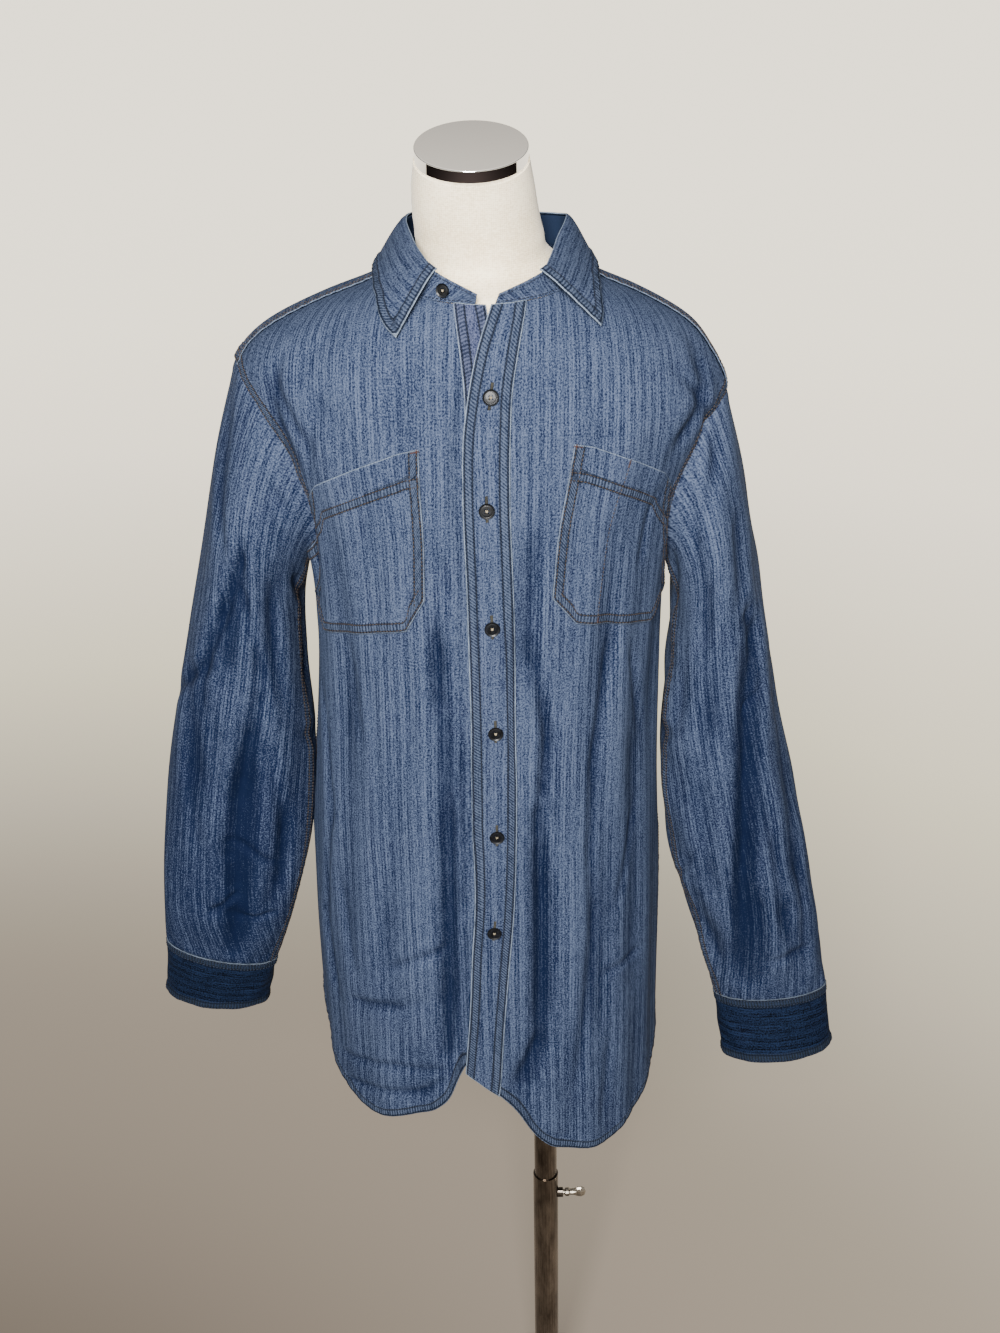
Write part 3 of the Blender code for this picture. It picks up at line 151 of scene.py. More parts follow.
# Folds: soft troughs along a line, with a low ridge at either side. On the trunk a line goes from (turn, z)
# to (turn, z), on a sleeve from (round, down) to (round, down).
CREASE_COLUMNS = ("first", "second", "to first", "to second", "depth", "width")
BODY_CREASES = (
    # the right front: armhole, pocket's outer side, chest, beside the band, below the pocket, hem
    (-55.0, 1.386, -58.0, 1.295, 0.0045, 0.013),
    (-60.0, 1.276, -71.0, 1.175, 0.0060, 0.014),
    (-15.0, 1.403, -18.6, 1.335, 0.0015, 0.016),
    (-47.0, 1.419, -34.0, 1.339, 0.0020, 0.018),
    (-12.0, 1.280, -13.5, 1.118, 0.0030, 0.014),
    (-10.8, 1.157, -10.9, 0.742, 0.0045, 0.015),
    (-27.0, 1.152, -33.0, 0.812, 0.0025, 0.020),
    (-50.0, 1.146, -49.0, 0.817, 0.0035, 0.018),
    (-55.0, 0.755, -14.0, 0.801, 0.0022, 0.011),
    # the left front
    (68.0, 1.393, 53.0, 1.313, 0.0045, 0.014),
    (24.7, 1.384, 26.0, 1.330, 0.0015, 0.016),
    (12.8, 1.278, 10.1, 1.127, 0.0040, 0.013),
    (16.0, 1.125, 19.7, 1.015, 0.0030, 0.014),
    (15.4, 0.996, 15.5, 0.750, 0.0065, 0.015),
    (15.5, 0.750, 8.0, 0.689, 0.0040, 0.014),
    (34.5, 1.286, 40.0, 1.110, 0.0025, 0.016),
    (36.5, 1.064, 35.3, 0.707, 0.0030, 0.020),
    (58.0, 1.084, 52.0, 0.782, 0.0040, 0.020),
    # the sides
    (-88.0, 1.180, -84.0, 0.950, 0.0050, 0.018),
    (86.0, 1.170, 92.0, 0.930, 0.0055, 0.018),
    (104.0, 1.150, 112.0, 0.800, 0.0050, 0.020),
    (256.0, 1.160, 247.0, 0.780, 0.0055, 0.020),
    # the back: armholes, long falls from the yoke, waist
    (118.0, 1.345, 112.0, 1.250, 0.0045, 0.014),
    (240.0, 1.360, 247.0, 1.260, 0.0045, 0.014),
    (128.0, 1.300, 136.0, 0.980, 0.0040, 0.018),
    (155.0, 1.330, 150.0, 0.860, 0.0035, 0.020),
    (178.0, 1.200, 183.0, 0.720, 0.0045, 0.022),
    (205.0, 1.320, 212.0, 0.900, 0.0040, 0.018),
    (228.0, 1.280, 222.0, 1.000, 0.0035, 0.016),
    (140.0, 1.020, 200.0, 1.030, 0.0025, 0.014),
    (165.0, 0.920, 222.0, 0.900, 0.0020, 0.014),
)
SLEEVE_CREASES = {
    "right": (
        (0.063, 0.051, 0.168, 0.218, 0.0035, 0.013),
        (0.230, 0.208, 0.199, 0.388, 0.0045, 0.014),
        (0.268, 0.462, 0.289, 0.960, 0.0085, 0.015),
        (0.202, 0.818, 0.314, 0.866, 0.0025, 0.010),
        (0.345, 0.098, 0.321, 0.380, 0.0035, 0.016),
        (0.065, 0.384, 0.170, 0.596, 0.0035, 0.015),
        (0.370, 0.530, 0.349, 0.885, 0.0030, 0.014),
        (0.420, 0.440, 0.520, 0.470, 0.0030, 0.011),
        (0.700, 0.100, 0.800, 0.340, 0.0045, 0.016),
        (0.660, 0.420, 0.720, 0.660, 0.0060, 0.016),
        (0.820, 0.450, 0.880, 0.800, 0.0050, 0.016),
        (0.600, 0.700, 0.660, 0.900, 0.0030, 0.013),
        (0.950, 0.150, 0.900, 0.400, 0.0035, 0.016),
    ),
    "left": (
        (0.126, 0.050, 0.277, 0.090, 0.0030, 0.013),
        (0.155, 0.324, 0.303, 0.960, 0.0090, 0.016),
        (0.040, 0.438, 0.122, 0.817, 0.0040, 0.015),
        (0.301, 0.111, 0.290, 0.510, 0.0040, 0.016),
        (0.169, 0.800, 0.167, 0.955, 0.0040, 0.012),
        (0.141, 0.120, 0.167, 0.318, 0.0035, 0.014),
        (0.403, 0.739, 0.394, 0.939, 0.0030, 0.012),
        (0.410, 0.450, 0.510, 0.480, 0.0030, 0.011),
        (0.720, 0.080, 0.820, 0.320, 0.0045, 0.016),
        (0.680, 0.400, 0.740, 0.700, 0.0060, 0.016),
        (0.850, 0.420, 0.900, 0.820, 0.0045, 0.016),
        (0.600, 0.660, 0.650, 0.880, 0.0030, 0.013),
        (0.930, 0.180, 0.880, 0.400, 0.0035, 0.015),
    ),
}
# metres of cloth in one unit of each place
BODY_SIZE, SLEEVE_SIZE = (0.165 * math.pi / 180, 1.0), (0.36, 0.62)
RIDGE, LINE_FADE, END_SHARE = 0.6, 0.2, 0.35
SLEEVE_FADE = 0.06  # a sleeve's folds die out over this share of it, at its armhole and at its cuff

BAND_FOOT, BAND_MOUTH = 1.175, 1.345  # heights at the centre of the rows through the pockets' foot and mouth
POCKET_COLUMN_AT_NECK = 50.0  # turn at which the line of the pockets' inner edges meets the neckline
LAP_RISE = 0.016  # width over which the under front sinks below the upper one
YOKE_DIP = 0.004  # how much lower the yoke's back seam is at its middle

# How many cells each stretch of a panel has
BELOW_PIT, POCKET_ROWS, CHEST_ROWS = 11, 5, 6
ARMHOLE_BACK, ARMHOLE_YOKE = 8, 5
FRONT_CELLS = {"right": (2, 2, 1, 5, 1, 3), "left": (2, 3, 1, 5, 1, 3)}
SHOULDER_CELLS = 9
BACK_HALF = 10

# Sleeves: each row is a section, its outer and inner edge, its middle y and its half depth
SLEEVE_COLUMNS = ("down", "outer x", "outer z", "inner x", "inner z", "middle y", "depth")
SLEEVES = {
    "right": (
        (0.00, -0.2610, 1.383, -0.2020, 1.215, -0.004, 0.0760),
        (0.12, -0.2835, 1.310, -0.2160, 1.172, -0.006, 0.0720),
        (0.30, -0.3105, 1.192, -0.2195, 1.100, -0.010, 0.0640),
        (0.50, -0.3460, 1.050, -0.2170, 1.000, -0.016, 0.0570),
        (0.70, -0.3690, 0.925, -0.2290, 0.905, -0.022, 0.0510),
        (0.86, -0.3790, 0.850, -0.2490, 0.832, -0.026, 0.0440),
        (1.00, -0.3812, 0.796, -0.2730, 0.770, -0.030, 0.0260),
    ),
    "left": (
        (0.00, 0.1590, 1.353, 0.1090, 1.205, -0.004, 0.0760),
        (0.12, 0.1765, 1.278, 0.1180, 1.165, -0.006, 0.0720),
        (0.30, 0.1960, 1.181, 0.1170, 1.100, -0.010, 0.0640),
        (0.50, 0.2210, 1.050, 0.1120, 1.000, -0.016, 0.0580),
        (0.70, 0.2520, 0.915, 0.1245, 0.885, -0.022, 0.0520),
        (0.86, 0.2715, 0.822, 0.1500, 0.803, -0.026, 0.0440),
        (1.00, 0.2885, 0.724, 0.1740, 0.716, -0.030, 0.0250),
    ),
}
CAP_END = 0.16  # how far down the armhole's own shape still shows

# Cuffs: the lower edge under each sleeve's end, and the overlap of the two ends at the back
CUFFS = {
    "right": {"outer": (-0.3920, 0.7255), "inner": (-0.2880, 0.7105), "middle": -0.016, "depth": 0.0300},
    "left": {"outer": (0.2970, 0.6570), "inner": (0.1845, 0.6465), "middle": -0.039, "depth": 0.0290},
}
CUFF_CELLS, CUFF_LAP, CUFF_LAP_START = 24, 2, 0.70
CUFF_LAYER = 0.0026

# Collar: the stand rises from the neckline to the fold line; the leaf falls from there
FOLD_COLUMNS = ("turn", "x", "y", "z")
FOLDS = {
    "right": (
        (4, -0.0520, -0.1045, 1.4500),
        (12, -0.0640, -0.1020, 1.4560),
        (25, -0.0830, -0.0930, 1.4650),
        (45, -0.0960, -0.0700, 1.4740),
        (70, -0.1055, -0.0350, 1.4835),
        (90, -0.1100, -0.0040, 1.4885),
        (135, -0.0960, 0.0430, 1.4880),
        (180, -0.0430, 0.0600, 1.4830),
    ),
    "left": (
        (4, -0.0345, -0.1045, 1.4500),
        (12, -0.0220, -0.1020, 1.4550),
        (25, -0.0025, -0.0920, 1.4625),
        (45, 0.0060, -0.0700, 1.4680),
        (70, 0.0140, -0.0330, 1.4775),
        (90, 0.0215, -0.0020, 1.4850),
        (135, 0.0150, 0.0430, 1.4840),
        (180, -0.0430, 0.0600, 1.4830),
    ),
}
NECK_CENTRE = (-0.043, -0.012)
STAND_END, LEAF_END = 4.0, 25.0
STAND_CLOTH, STAND_GAP = 0.0016, 0.0008
LEAF_COLUMNS = ("turn", "edge turn", "edge z", "lift")
LEAVES = {
    "right": (
        (25, 23.0, 1.4162, 0.0050),
        (35, 37.5, 1.4330, 0.0050),
        (52, 57.0, 1.4440, 0.0050),
        (70, 76.0, 1.4490, 0.0050),
        (90, 93.0, 1.4500, 0.0050),
        (135, 135.0, 1.4450, 0.0060),
        (180, 180.0, 1.4430, 0.0070),
    ),
    "left": (
        (25, 35.0, 1.4189, 0.0050),
        (33, 43.5, 1.4310, 0.0050),
        (50, 58.5, 1.4420, 0.0050),
        (70, 76.0, 1.4480, 0.0050),
        (90, 93.0, 1.4500, 0.0050),
        (135, 135.0, 1.4450, 0.0060),
        (180, 180.0, 1.4430, 0.0070),
    ),
}
LEAF_RISE, LEAF_ROLL = 0.0022, 0.0070

HEM_TURNS = (18, 25, 60, 72, 90)  # turns of a front's key columns at its hem, from the pocket outwards
ROUND_CELLS = 24  # cells in one turn round an armhole
LOWEST = 0.58  # height from which the flat cut is measured
SEAM_ROUND = 0.46  # where a sleeve's own seam lies round it
SLEEVE_FINE = (190, 128)
PLACKET_SHARE = 0.19
PEN_SLOT = {"columns": (0.43, 0.30), "rows": (0.985, 0.03)}
BODY_STEP, SLEEVE_STEP, CUFF_STEP = (0.4, 0.001), (0.004, 0.004), (0.004, 0.01)
STAND_STEP, LEAF_STEP = (0.5, 0.02), (0.5, 0.01)
LIE = 0.0003  # a strip lies this much higher than its solid, so that the cloth below never shows through
CUFF_CLOTH, CUFF_WAVE = 0.0018, 0.0007
PLACKET_ROUND = 0.068
BUTTON_RADIUS, BUTTON_DEPTH = 0.0067, 0.0030
BUTTONS = [f"button_{k}" for k in range(1, 7)] + ["collar_button", "cuff_button_right", "cuff_button_left"]
CAP = {"radius": 0.0457, "height": 0.0115, "rim": 0.0012, "gap": 0.0004}
SOCKET = {"radius": 0.0130, "top": 1.0603, "below": 0.02}  # the form's bore, on the pole's end

# Form: how far the jersey lies inside the shirt's skin, and the neck's rings above it
FORM_COLUMNS = ("z", "inset at the sides", "inset before and behind")
FORM = (
    (0.800, 0.0200, 0.0220),
    (0.880, 0.0170, 0.0200),
    (0.960, 0.0240, 0.0250),
    (1.040, 0.0330, 0.0300),
    (1.120, 0.0260, 0.0240),
    (1.200, 0.0160, 0.0150),
    (1.270, 0.0130, 0.0120),
    (1.320, 0.0110, 0.0115),
    (1.355, 0.0085, 0.0120),
    (1.385, 0.0048, 0.0120),
    (1.410, 0.0026, 0.0110),
    (1.430, 0.0030, 0.0105),
    (1.444, 0.0036, 0.0110),
)
NECK_COLUMNS = ("z", "centre x", "centre y", "half width", "half depth", "tilt")
NECK = (
    (1.462, -0.0480, -0.0060, 0.0590, 0.0600, 8.0),
    (1.482, -0.0500, -0.0100, 0.0530, 0.0540, 12.0),
    (1.500, -0.0525, -0.0140, 0.0515, 0.0515, 15.0),
    (1.520, -0.0540, -0.0190, 0.0498, 0.0500, 17.0),
    (1.540, -0.0545, -0.0247, 0.0466, 0.0471, 18.0),
)
FORM_SIDES, FORM_STEPS = 120, 6  # points round it, and levels for each row of its tables

# Denim's noises: name, grains in a metre across and along the cloth, detail, roughness
DENIM_NOISES = (
    ("slow", 11.0, 6.0, 2.0, 0.5),
    ("streak", 430.0, 9.0, 2.0, 0.6),  # uneven warp, 2 mm wide
    ("hair", 1000.0, 75.0, 2.0, 0.6),  # single dark or pale warp threads
    ("grain", 760.0, 620.0, 1.0, 0.6),  # where the pale weft shows
    ("patch", 17.0, 11.0, 3.0, 0.6),
    ("uneven", 60.0, 12.0, 1.0, 0.5),  # where the stripes are strong
)

# Denim colours: in the dye, rubbed pale, in a hollow, where it stands for painted shade as well as kept dye,
# and the cloth's back, painted dark as the shade inside the shirt
DENIM = ("#0C162D", "#495368", "#030C22", "#1A2437")
# Each holds the same four colours; the last, the back, is painted dark as the shade inside the shirt
SHELTERED = ("#1A2036", "#4D536C", "#0C1226", "#1A2437")
CUFF_DENIM = ("#010205", "#141F35", "#030812", "#101828")
RUBBED, SEAM_SHADE, SEAM_DULL = "#9DABBA", "#0A0F1A", "#2B3138"

# Smaller folds, which only the cloth has
SMALL_BODY_CREASES = (
    # the right front: beside the band, the side, the hem, below the pocket, by the armhole
    (-14.0, 1.189, -14.0, 1.099, 0.0035, 0.007),
    (-10.0, 1.017, -10.0, 0.901, 0.0040, 0.008),
    (-9.9, 0.924, -11.1, 0.798, 0.0042, 0.009),
    (-10.8, 0.820, -12.7, 0.720, 0.0040, 0.008),
    (-5.6, 1.080, -4.9, 0.980, 0.0036, 0.007),
    (-4.9, 1.000, -5.6, 0.894, 0.0032, 0.007),
    (-68.5, 1.093, -58.5, 0.961, 0.0040, 0.009),
    (-58.7, 0.990, -67.3, 0.824, 0.0036, 0.009),
    (-67.0, 0.849, -61.5, 0.759, 0.0036, 0.009),
    (-32.0, 0.825, -11.0, 0.859, 0.0032, 0.006),
    (-51.0, 0.769, -25.0, 0.783, 0.0028, 0.006),
    (-61.6, 0.686, -29.9, 0.710, 0.0030, 0.006),
    (-35.4, 0.707, -10.6, 0.715, 0.0026, 0.006),
    (-58.9, 0.657, -18.6, 0.685, 0.0034, 0.006),
    (-23.6, 0.679, -11.9, 0.707, 0.0028, 0.006),
    (-37.4, 1.131, -33.6, 0.997, 0.0016, 0.009),
    (-23.7, 1.186, -21.8, 1.042, 0.0016, 0.008),
    (-54.1, 0.914, -47.9, 0.808, 0.0018, 0.009),
    (-41.9, 1.055, -48.1, 1.147, 0.0016, 0.008),
    (-11.9, 1.250, -8.1, 1.208, 0.0020, 0.006),
    (-47.3, 1.328, -54.7, 1.392, 0.0036, 0.009),
    (-36.0, 1.377, -51.5, 1.301, 0.0020, 0.008),
    # the left front: beside the band, the middle, the side, the hem
    (12.5, 1.170, 18.0, 1.068, 0.0040, 0.008),
    (17.9, 1.088, 14.1, 0.984, 0.0042, 0.008),
    (14.4, 1.004, 15.6, 0.902, 0.0036, 0.008),
    (15.7, 0.931, 13.3, 0.733, 0.0034, 0.009),
    (14.2, 0.757, 7.3, 0.703, 0.0036, 0.008),
    (41.2, 1.169, 34.3, 1.033, 0.0034, 0.008),
    (35.3, 1.058, 32.2, 0.938, 0.0030, 0.008),
    (32.4, 0.960, 33.6, 0.858, 0.0028, 0.008),
    (34.2, 0.888, 26.8, 0.678, 0.0030, 0.008),
    (38.0, 0.808, 58.5, 0.812, 0.0030, 0.005),
    (15.4, 1.032, 21.6, 0.988, 0.0024, 0.006),
    (56.7, 0.980, 44.3, 0.880, 0.0022, 0.008),
    (15.2, 0.631, 23.8, 0.621, 0.0022, 0.005),
    (5.4, 1.188, 6.6, 1.046, 0.0016, 0.007),
    (49.3, 1.151, 61.7, 1.039, 0.0026, 0.008),
    (20.8, 0.923, 22.7, 0.767, 0.0018, 0.008),
    (50.9, 1.218, 51.6, 1.282, 0.0024, 0.008),
    (77.4, 1.303, 52.6, 1.379, 0.0030, 0.009),
    (41.3, 0.734, 38.2, 0.630, 0.0020, 0.008),
    # the back
    (122.0, 1.330, 113.0, 1.262, 0.0032, 0.007),
    (238.0, 1.340, 250.0, 1.270, 0.0030, 0.008),
    (134.0, 1.240, 129.0, 1.120, 0.0024, 0.008),
    (150.0, 1.100, 158.0, 0.960, 0.0026, 0.009),
    (170.0, 1.310, 173.0, 1.180, 0.0022, 0.008),
    (186.0, 1.130, 180.0, 0.990, 0.0028, 0.009),
    (199.0, 0.960, 208.0, 0.820, 0.0030, 0.008),
    (222.0, 1.180, 216.0, 1.060, 0.0024, 0.007),
    (236.0, 1.080, 243.0, 0.930, 0.0030, 0.009),
    (118.0, 1.020, 124.0, 0.860, 0.0032, 0.009),
    (145.0, 0.840, 139.0, 0.700, 0.0026, 0.008),
    (176.0, 0.790, 170.0, 0.660, 0.0028, 0.008),
    (228.0, 0.800, 233.0, 0.690, 0.0026, 0.007),
    (150.0, 0.985, 176.0, 0.962, 0.0022, 0.006),
    (190.0, 0.872, 217.0, 0.890, 0.0024, 0.006),
    (108.0, 0.720, 136.0, 0.735, 0.0024, 0.006),
    (160.0, 0.650, 196.0, 0.645, 0.0028, 0.006),
    (98.0, 1.110, 103.0, 0.990, 0.0030, 0.008),
    (262.0, 1.090, 257.0, 0.960, 0.0032, 0.008),
)
SMALL_SLEEVE_CREASES = {
    "right": (
        (0.236, 0.152, 0.171, 0.313, 0.0060, 0.008),
        (0.182, 0.287, 0.133, 0.398, 0.0056, 0.008),
        (0.137, 0.380, 0.143, 0.460, 0.0030, 0.008),
        (0.211, 0.128, 0.249, 0.252, 0.0030, 0.009),
        (0.240, 0.230, 0.293, 0.330, 0.0032, 0.009),
        (0.287, 0.310, 0.296, 0.410, 0.0030, 0.009),
        (0.400, 0.100, 0.494, 0.160, 0.0045, 0.011),
        (0.494, 0.143, 0.476, 0.369, 0.0050, 0.012),
        (0.229, 0.063, 0.294, 0.054, 0.0030, 0.007),
        (0.228, 0.079, 0.321, 0.086, 0.0022, 0.007),
        (0.000, 0.479, 0.155, 0.386, 0.0040, 0.007),
        (0.292, 0.389, 0.248, 0.581, 0.0050, 0.010),
        (0.254, 0.548, 0.241, 0.697, 0.0048, 0.009),
        (0.239, 0.671, 0.270, 0.792, 0.0046, 0.010),
        (0.208, 0.849, 0.277, 0.786, 0.0030, 0.005),
        (0.300, 0.856, 0.375, 0.841, 0.0028, 0.005),
        (0.250, 0.665, 0.352, 0.715, 0.0030, 0.006),
        (0.298, 0.434, 0.372, 0.651, 0.0030, 0.008),
        (0.363, 0.614, 0.379, 0.784, 0.0030, 0.008),
        (0.116, 0.527, 0.178, 0.710, 0.0020, 0.009),
        (0.182, 0.448, 0.216, 0.597, 0.0020, 0.008),
        (0.335, 0.157, 0.360, 0.398, 0.0025, 0.009),
        (0.560, 0.080, 0.620, 0.200, 0.0030, 0.008),
        (0.640, 0.240, 0.600, 0.380, 0.0032, 0.009),
        (0.740, 0.300, 0.700, 0.440, 0.0034, 0.008),
        (0.820, 0.180, 0.860, 0.330, 0.0028, 0.009),
        (0.780, 0.480, 0.830, 0.600, 0.0036, 0.008),
        (0.640, 0.520, 0.600, 0.680, 0.0030, 0.009),
        (0.700, 0.660, 0.760, 0.800, 0.0036, 0.008),
        (0.900, 0.500, 0.930, 0.680, 0.0026, 0.009),
        (0.860, 0.820, 0.790, 0.900, 0.0028, 0.006),
        (0.560, 0.860, 0.630, 0.930, 0.0026, 0.006),
    ),
    "left": (
        (0.141, 0.305, 0.129, 0.385, 0.0040, 0.009),
        (0.122, 0.357, 0.206, 0.571, 0.0040, 0.009),
        (0.191, 0.532, 0.253, 0.715, 0.0050, 0.010),
        (0.238, 0.670, 0.340, 0.952, 0.0048, 0.010),
        (0.106, 0.330, 0.124, 0.463, 0.0030, 0.008),
        (0.117, 0.437, 0.176, 0.568, 0.0030, 0.008),
        (0.171, 0.536, 0.164, 0.729, 0.0030, 0.008),
        (0.163, 0.692, 0.187, 0.881, 0.0030, 0.008),
        (0.082, 0.716, 0.141, 0.967, 0.0030, 0.009),
        (0.188, 0.464, 0.129, 0.449, 0.0026, 0.005),
        (0.486, 0.764, 0.371, 0.674, 0.0024, 0.006),
        (0.235, 0.918, 0.105, 0.915, 0.0030, 0.006),
        (0.400, 0.060, 0.490, 0.200, 0.0030, 0.009),
        (0.243, 0.036, 0.312, 0.104, 0.0022, 0.008),
        (0.321, 0.478, 0.336, 0.757, 0.0022, 0.010),
        (0.250, 0.289, 0.247, 0.506, 0.0018, 0.009),
        (0.389, 0.238, 0.396, 0.470, 0.0020, 0.010),
        (0.227, 0.770, 0.255, 0.947, 0.0030, 0.007),
        (0.570, 0.100, 0.610, 0.230, 0.0030, 0.008),
        (0.650, 0.220, 0.620, 0.350, 0.0034, 0.009),
        (0.760, 0.340, 0.720, 0.480, 0.0030, 0.008),
        (0.840, 0.160, 0.870, 0.300, 0.0026, 0.009),
        (0.790, 0.520, 0.840, 0.640, 0.0038, 0.008),
        (0.630, 0.560, 0.590, 0.700, 0.0028, 0.009),
        (0.700, 0.700, 0.750, 0.830, 0.0034, 0.008),
        (0.910, 0.460, 0.950, 0.640, 0.0028, 0.009),
        (0.880, 0.800, 0.800, 0.890, 0.0030, 0.006),
        (0.550, 0.840, 0.620, 0.920, 0.0026, 0.006),
    ),
}
# Painted shade on each sleeve: how much darker it is coloured at the armhole, and how much more by the cuff
SLEEVE_SHADE = {"right": (0.45, 1.0), "left": (0.05, 0.7)}
# Painted shade on the tails: it grows below a height, over a span, up to its most
TAIL_SHADE = {"from": 0.98, "over": 0.32, "most": 0.45}
GATHERS = {"count": 27, "depth": 0.0011, "reach": 0.055}  # small pleats where a sleeve is eased into its cuff

# Studio: the floor's colour, darkened as painted shade, and its glow, painted light, at distances in metres
# from the middle below, where the floor is darkest
FLOOR_SHADE_MIDDLE = (-1.0, -0.9, 0.0)
FLOOR_REACH = 12.0  # distance at which the floor's colour and glow stop changing
FLOOR_SHADED_COLOURS = (
    (0.0, "#463F37"),
    (1.0, "#544C43"),
    (1.5, "#6C6257"),
    (2.0, "#71685B"),
    (2.6, "#918979"),
    (3.2, "#A39B8A"),
    (5.0, "#C4BCAB"),
    (12.0, "#C4BCAB"),
)
FLOOR_PAINTED_GLOW = (
    (0.0, "#12100E"),
    (1.0, "#171512"),
    (1.5, "#403B35"),
    (2.0, "#433E37"),
    (2.6, "#6E695E"),
    (3.2, "#89836F"),
    (4.0, "#9C9586"),
    (5.0, "#AFA797"),
    (7.0, "#BCB4A3"),
    (12.0, "#C0B8A7"),
)
KEY = {"place": (-0.25, -2.50, 2.40), "aim": (-0.05, 0, 1.15), "size": 0.9, "colour": (1.0, 0.985, 0.96)}
BOARD = {"radius": 1.25, "spread": 4.5, "back": 1.4, "lift": 0.002, "colour": (0.03, 0.022, 0.02, 1)}
# Where the camera stands, its degrees of tilt and lean, and its focal length over the frame's height
CAMERA = {"place": (-0.040, -1.275, 1.70), "pitch": 26.0, "roll": 1.17, "focal": 1500 / 1333}
SENSOR = 36  # height of the camera's sensor in millimetres

# Slow unevenness of hung cloth: how many waves, how deep and how slanted
BODY_WAVES = {"seed": 5, "count": 14, "rounds": (9, 26), "slant": 16.0, "depth": 0.00042}
SLEEVE_WAVES = {"seed": 11, "count": 12, "rounds": (3, 9), "slant": 22.0, "depth": 0.00045}

# How a sheet's edges are finished, in metres
RIM = 0.0006  # a folded edge rounds over this width
TUCK = 0.0035  # how far an allowance lies under its neighbour
DROP = 0.0010  # how much lower it lies there
BULK = {
    "over": (0.0009, 0.0100), "hem": (0.0008, 0.0098), "mouth": (0.0006, 0.0292), "fold": (0.0003, 0.0030)
}
MOUTH_ROWS = 0.0204  # how much further in a pocket mouth's two rows lie than a seam's
PUCKER = 0.0006
STITCH_ROWS = (0.0018, 0.0082)  # the two rows of a double-stitched seam, from its folded edge
FINE = (11, 7)  # rows and columns that each cell of the solids' panels is made of


def smooth(share):
    """An S-curve from 0 to 1, level at both ends."""
    share = np.clip(share, 0, 1)
    return share * share * (3 - 2 * share)


def column(rows, names, name, at):
    """One named column of a table, read along a smooth curve through its rows, and straight on past them."""
    table = np.asarray(rows, float)
    places, values = table[:, 0], table[:, names.index(name)]
    slopes = np.gradient(values, places)
    asked, at = at, np.clip(at, places[0], places[-1])
    i = np.clip(np.searchsorted(places, at, side="right") - 1, 0, len(places) - 2)
    span = places[i + 1] - places[i]
    k = (at - places[i]) / span
    start = (1 + 2 * k) * (1 - k) ** 2 * values[i] + k * (1 - k) ** 2 * span * slopes[i]
    end = k * k * (3 - 2 * k) * values[i + 1] + k * k * (k - 1) * span * slopes[i + 1]
    return start + end + (asked - at) * np.where(asked > at, slopes[-1], slopes[0])


def ring_value(name, z):
    return column(RINGS, RING_COLUMNS, name, z)


def bare_body(turn, z):
    """The trunk's skin without its folds."""
    turn, z = np.broadcast_arrays(np.asarray(turn, float), np.asarray(z, float))
    sine, cosine = np.sin(np.radians(turn)), np.cos(np.radians(turn))
    power = 2 / ring_value("squareness", z)
    depth = np.where(cosine > 0, ring_value("front", z), ring_value("back", z))
    width = np.where(sine < 0, ring_value("right", z), ring_value("left", z))
    x = ring_value("centre", z) + width * np.sign(sine) * np.abs(sine) ** power
    y = MIDDLE_Y - depth * np.sign(cosine) * np.abs(cosine) ** power
    return np.stack([x, y, z], axis=-1)


def turn_at(x, z):
    """The turn of the place on the front of the skin with this x and z."""
    offset = x - ring_value("centre", z)
    width = np.where(offset < 0, ring_value("right", z), ring_value("left", z))
    sine = np.clip(np.abs(offset) / width, 0, 1) ** (ring_value("squareness", z) / 2)
    return np.sign(offset) * np.degrees(np.arcsin(sine))


def crease_height(rows, first, second, turn_round, size):
    """How far a table of folds pushes a skin out; turn_round is what the first place comes round after."""
    first, second = np.broadcast_arrays(np.asarray(first, float), np.asarray(second, float))
    height = np.zeros(first.shape)
    for from_first, from_second, to_first, to_second, depth, width in rows:
        along = np.array([(to_first - from_first) * size[0], (to_second - from_second) * size[1]])
        u = ((first - from_first + turn_round / 2) % turn_round - turn_round / 2) * size[0]
        v = (second - from_second) * size[1]
        share = np.clip((u * along[0] + v * along[1]) / (along @ along), 0, 1)
        q = ((u - share * along[0]) ** 2 + (v - share * along[1]) ** 2) / width**2
        fade = END_SHARE + (1 - END_SHARE) * smooth(share / LINE_FADE) * smooth((1 - share) / LINE_FADE)
        height -= depth * fade * (1 - RIDGE * q) * np.exp(-q)
    return height


def waves(first, second, turn_round, settings):
    """Slow uneven waves that come round after turn_round of the first place."""
    dice = np.random.default_rng(settings["seed"])
    height = np.zeros(np.broadcast(first, second).shape)
    for _ in range(settings["count"]):
        rounds = dice.integers(*settings["rounds"])
        slant, phase = dice.normal(0, settings["slant"]), dice.uniform(0, 2 * np.pi)
        depth = settings["depth"] * dice.uniform(0.4, 1.0)
        height += depth * np.sin(2 * np.pi * rounds * first / turn_round + slant * second + phase)
    return height


def body_height(turn, z):
    """The trunk's folds, large and small."""
    large = crease_height(BODY_CREASES, turn, z, 360, BODY_SIZE)
    small = crease_height(SMALL_BODY_CREASES, turn, z, 360, BODY_SIZE)
    calm = smooth((1.43 - z) / 0.10)  # the shoulders lie on the form
    return large + small + calm * waves(turn, z, 360, BODY_WAVES)


def lifted(skin, first, second, lift, step):
    """Places on a skin, moved off it by lift along its outward normal."""
    first, second = np.asarray(first, float), np.asarray(second, float)
    across = skin(first + step[0], second) - skin(first - step[0], second)
    along = skin(first, second + step[1]) - skin(first, second - step[1])
    normal = np.cross(across, along)
    normal /= np.linalg.norm(normal, axis=-1, keepdims=True)
    return skin(first, second) + np.asarray(lift)[..., None] * normal


def body(turn, z):
    """The trunk's skin, folds and all."""
    return lifted(bare_body, turn, z, body_height(turn, z), BODY_STEP)


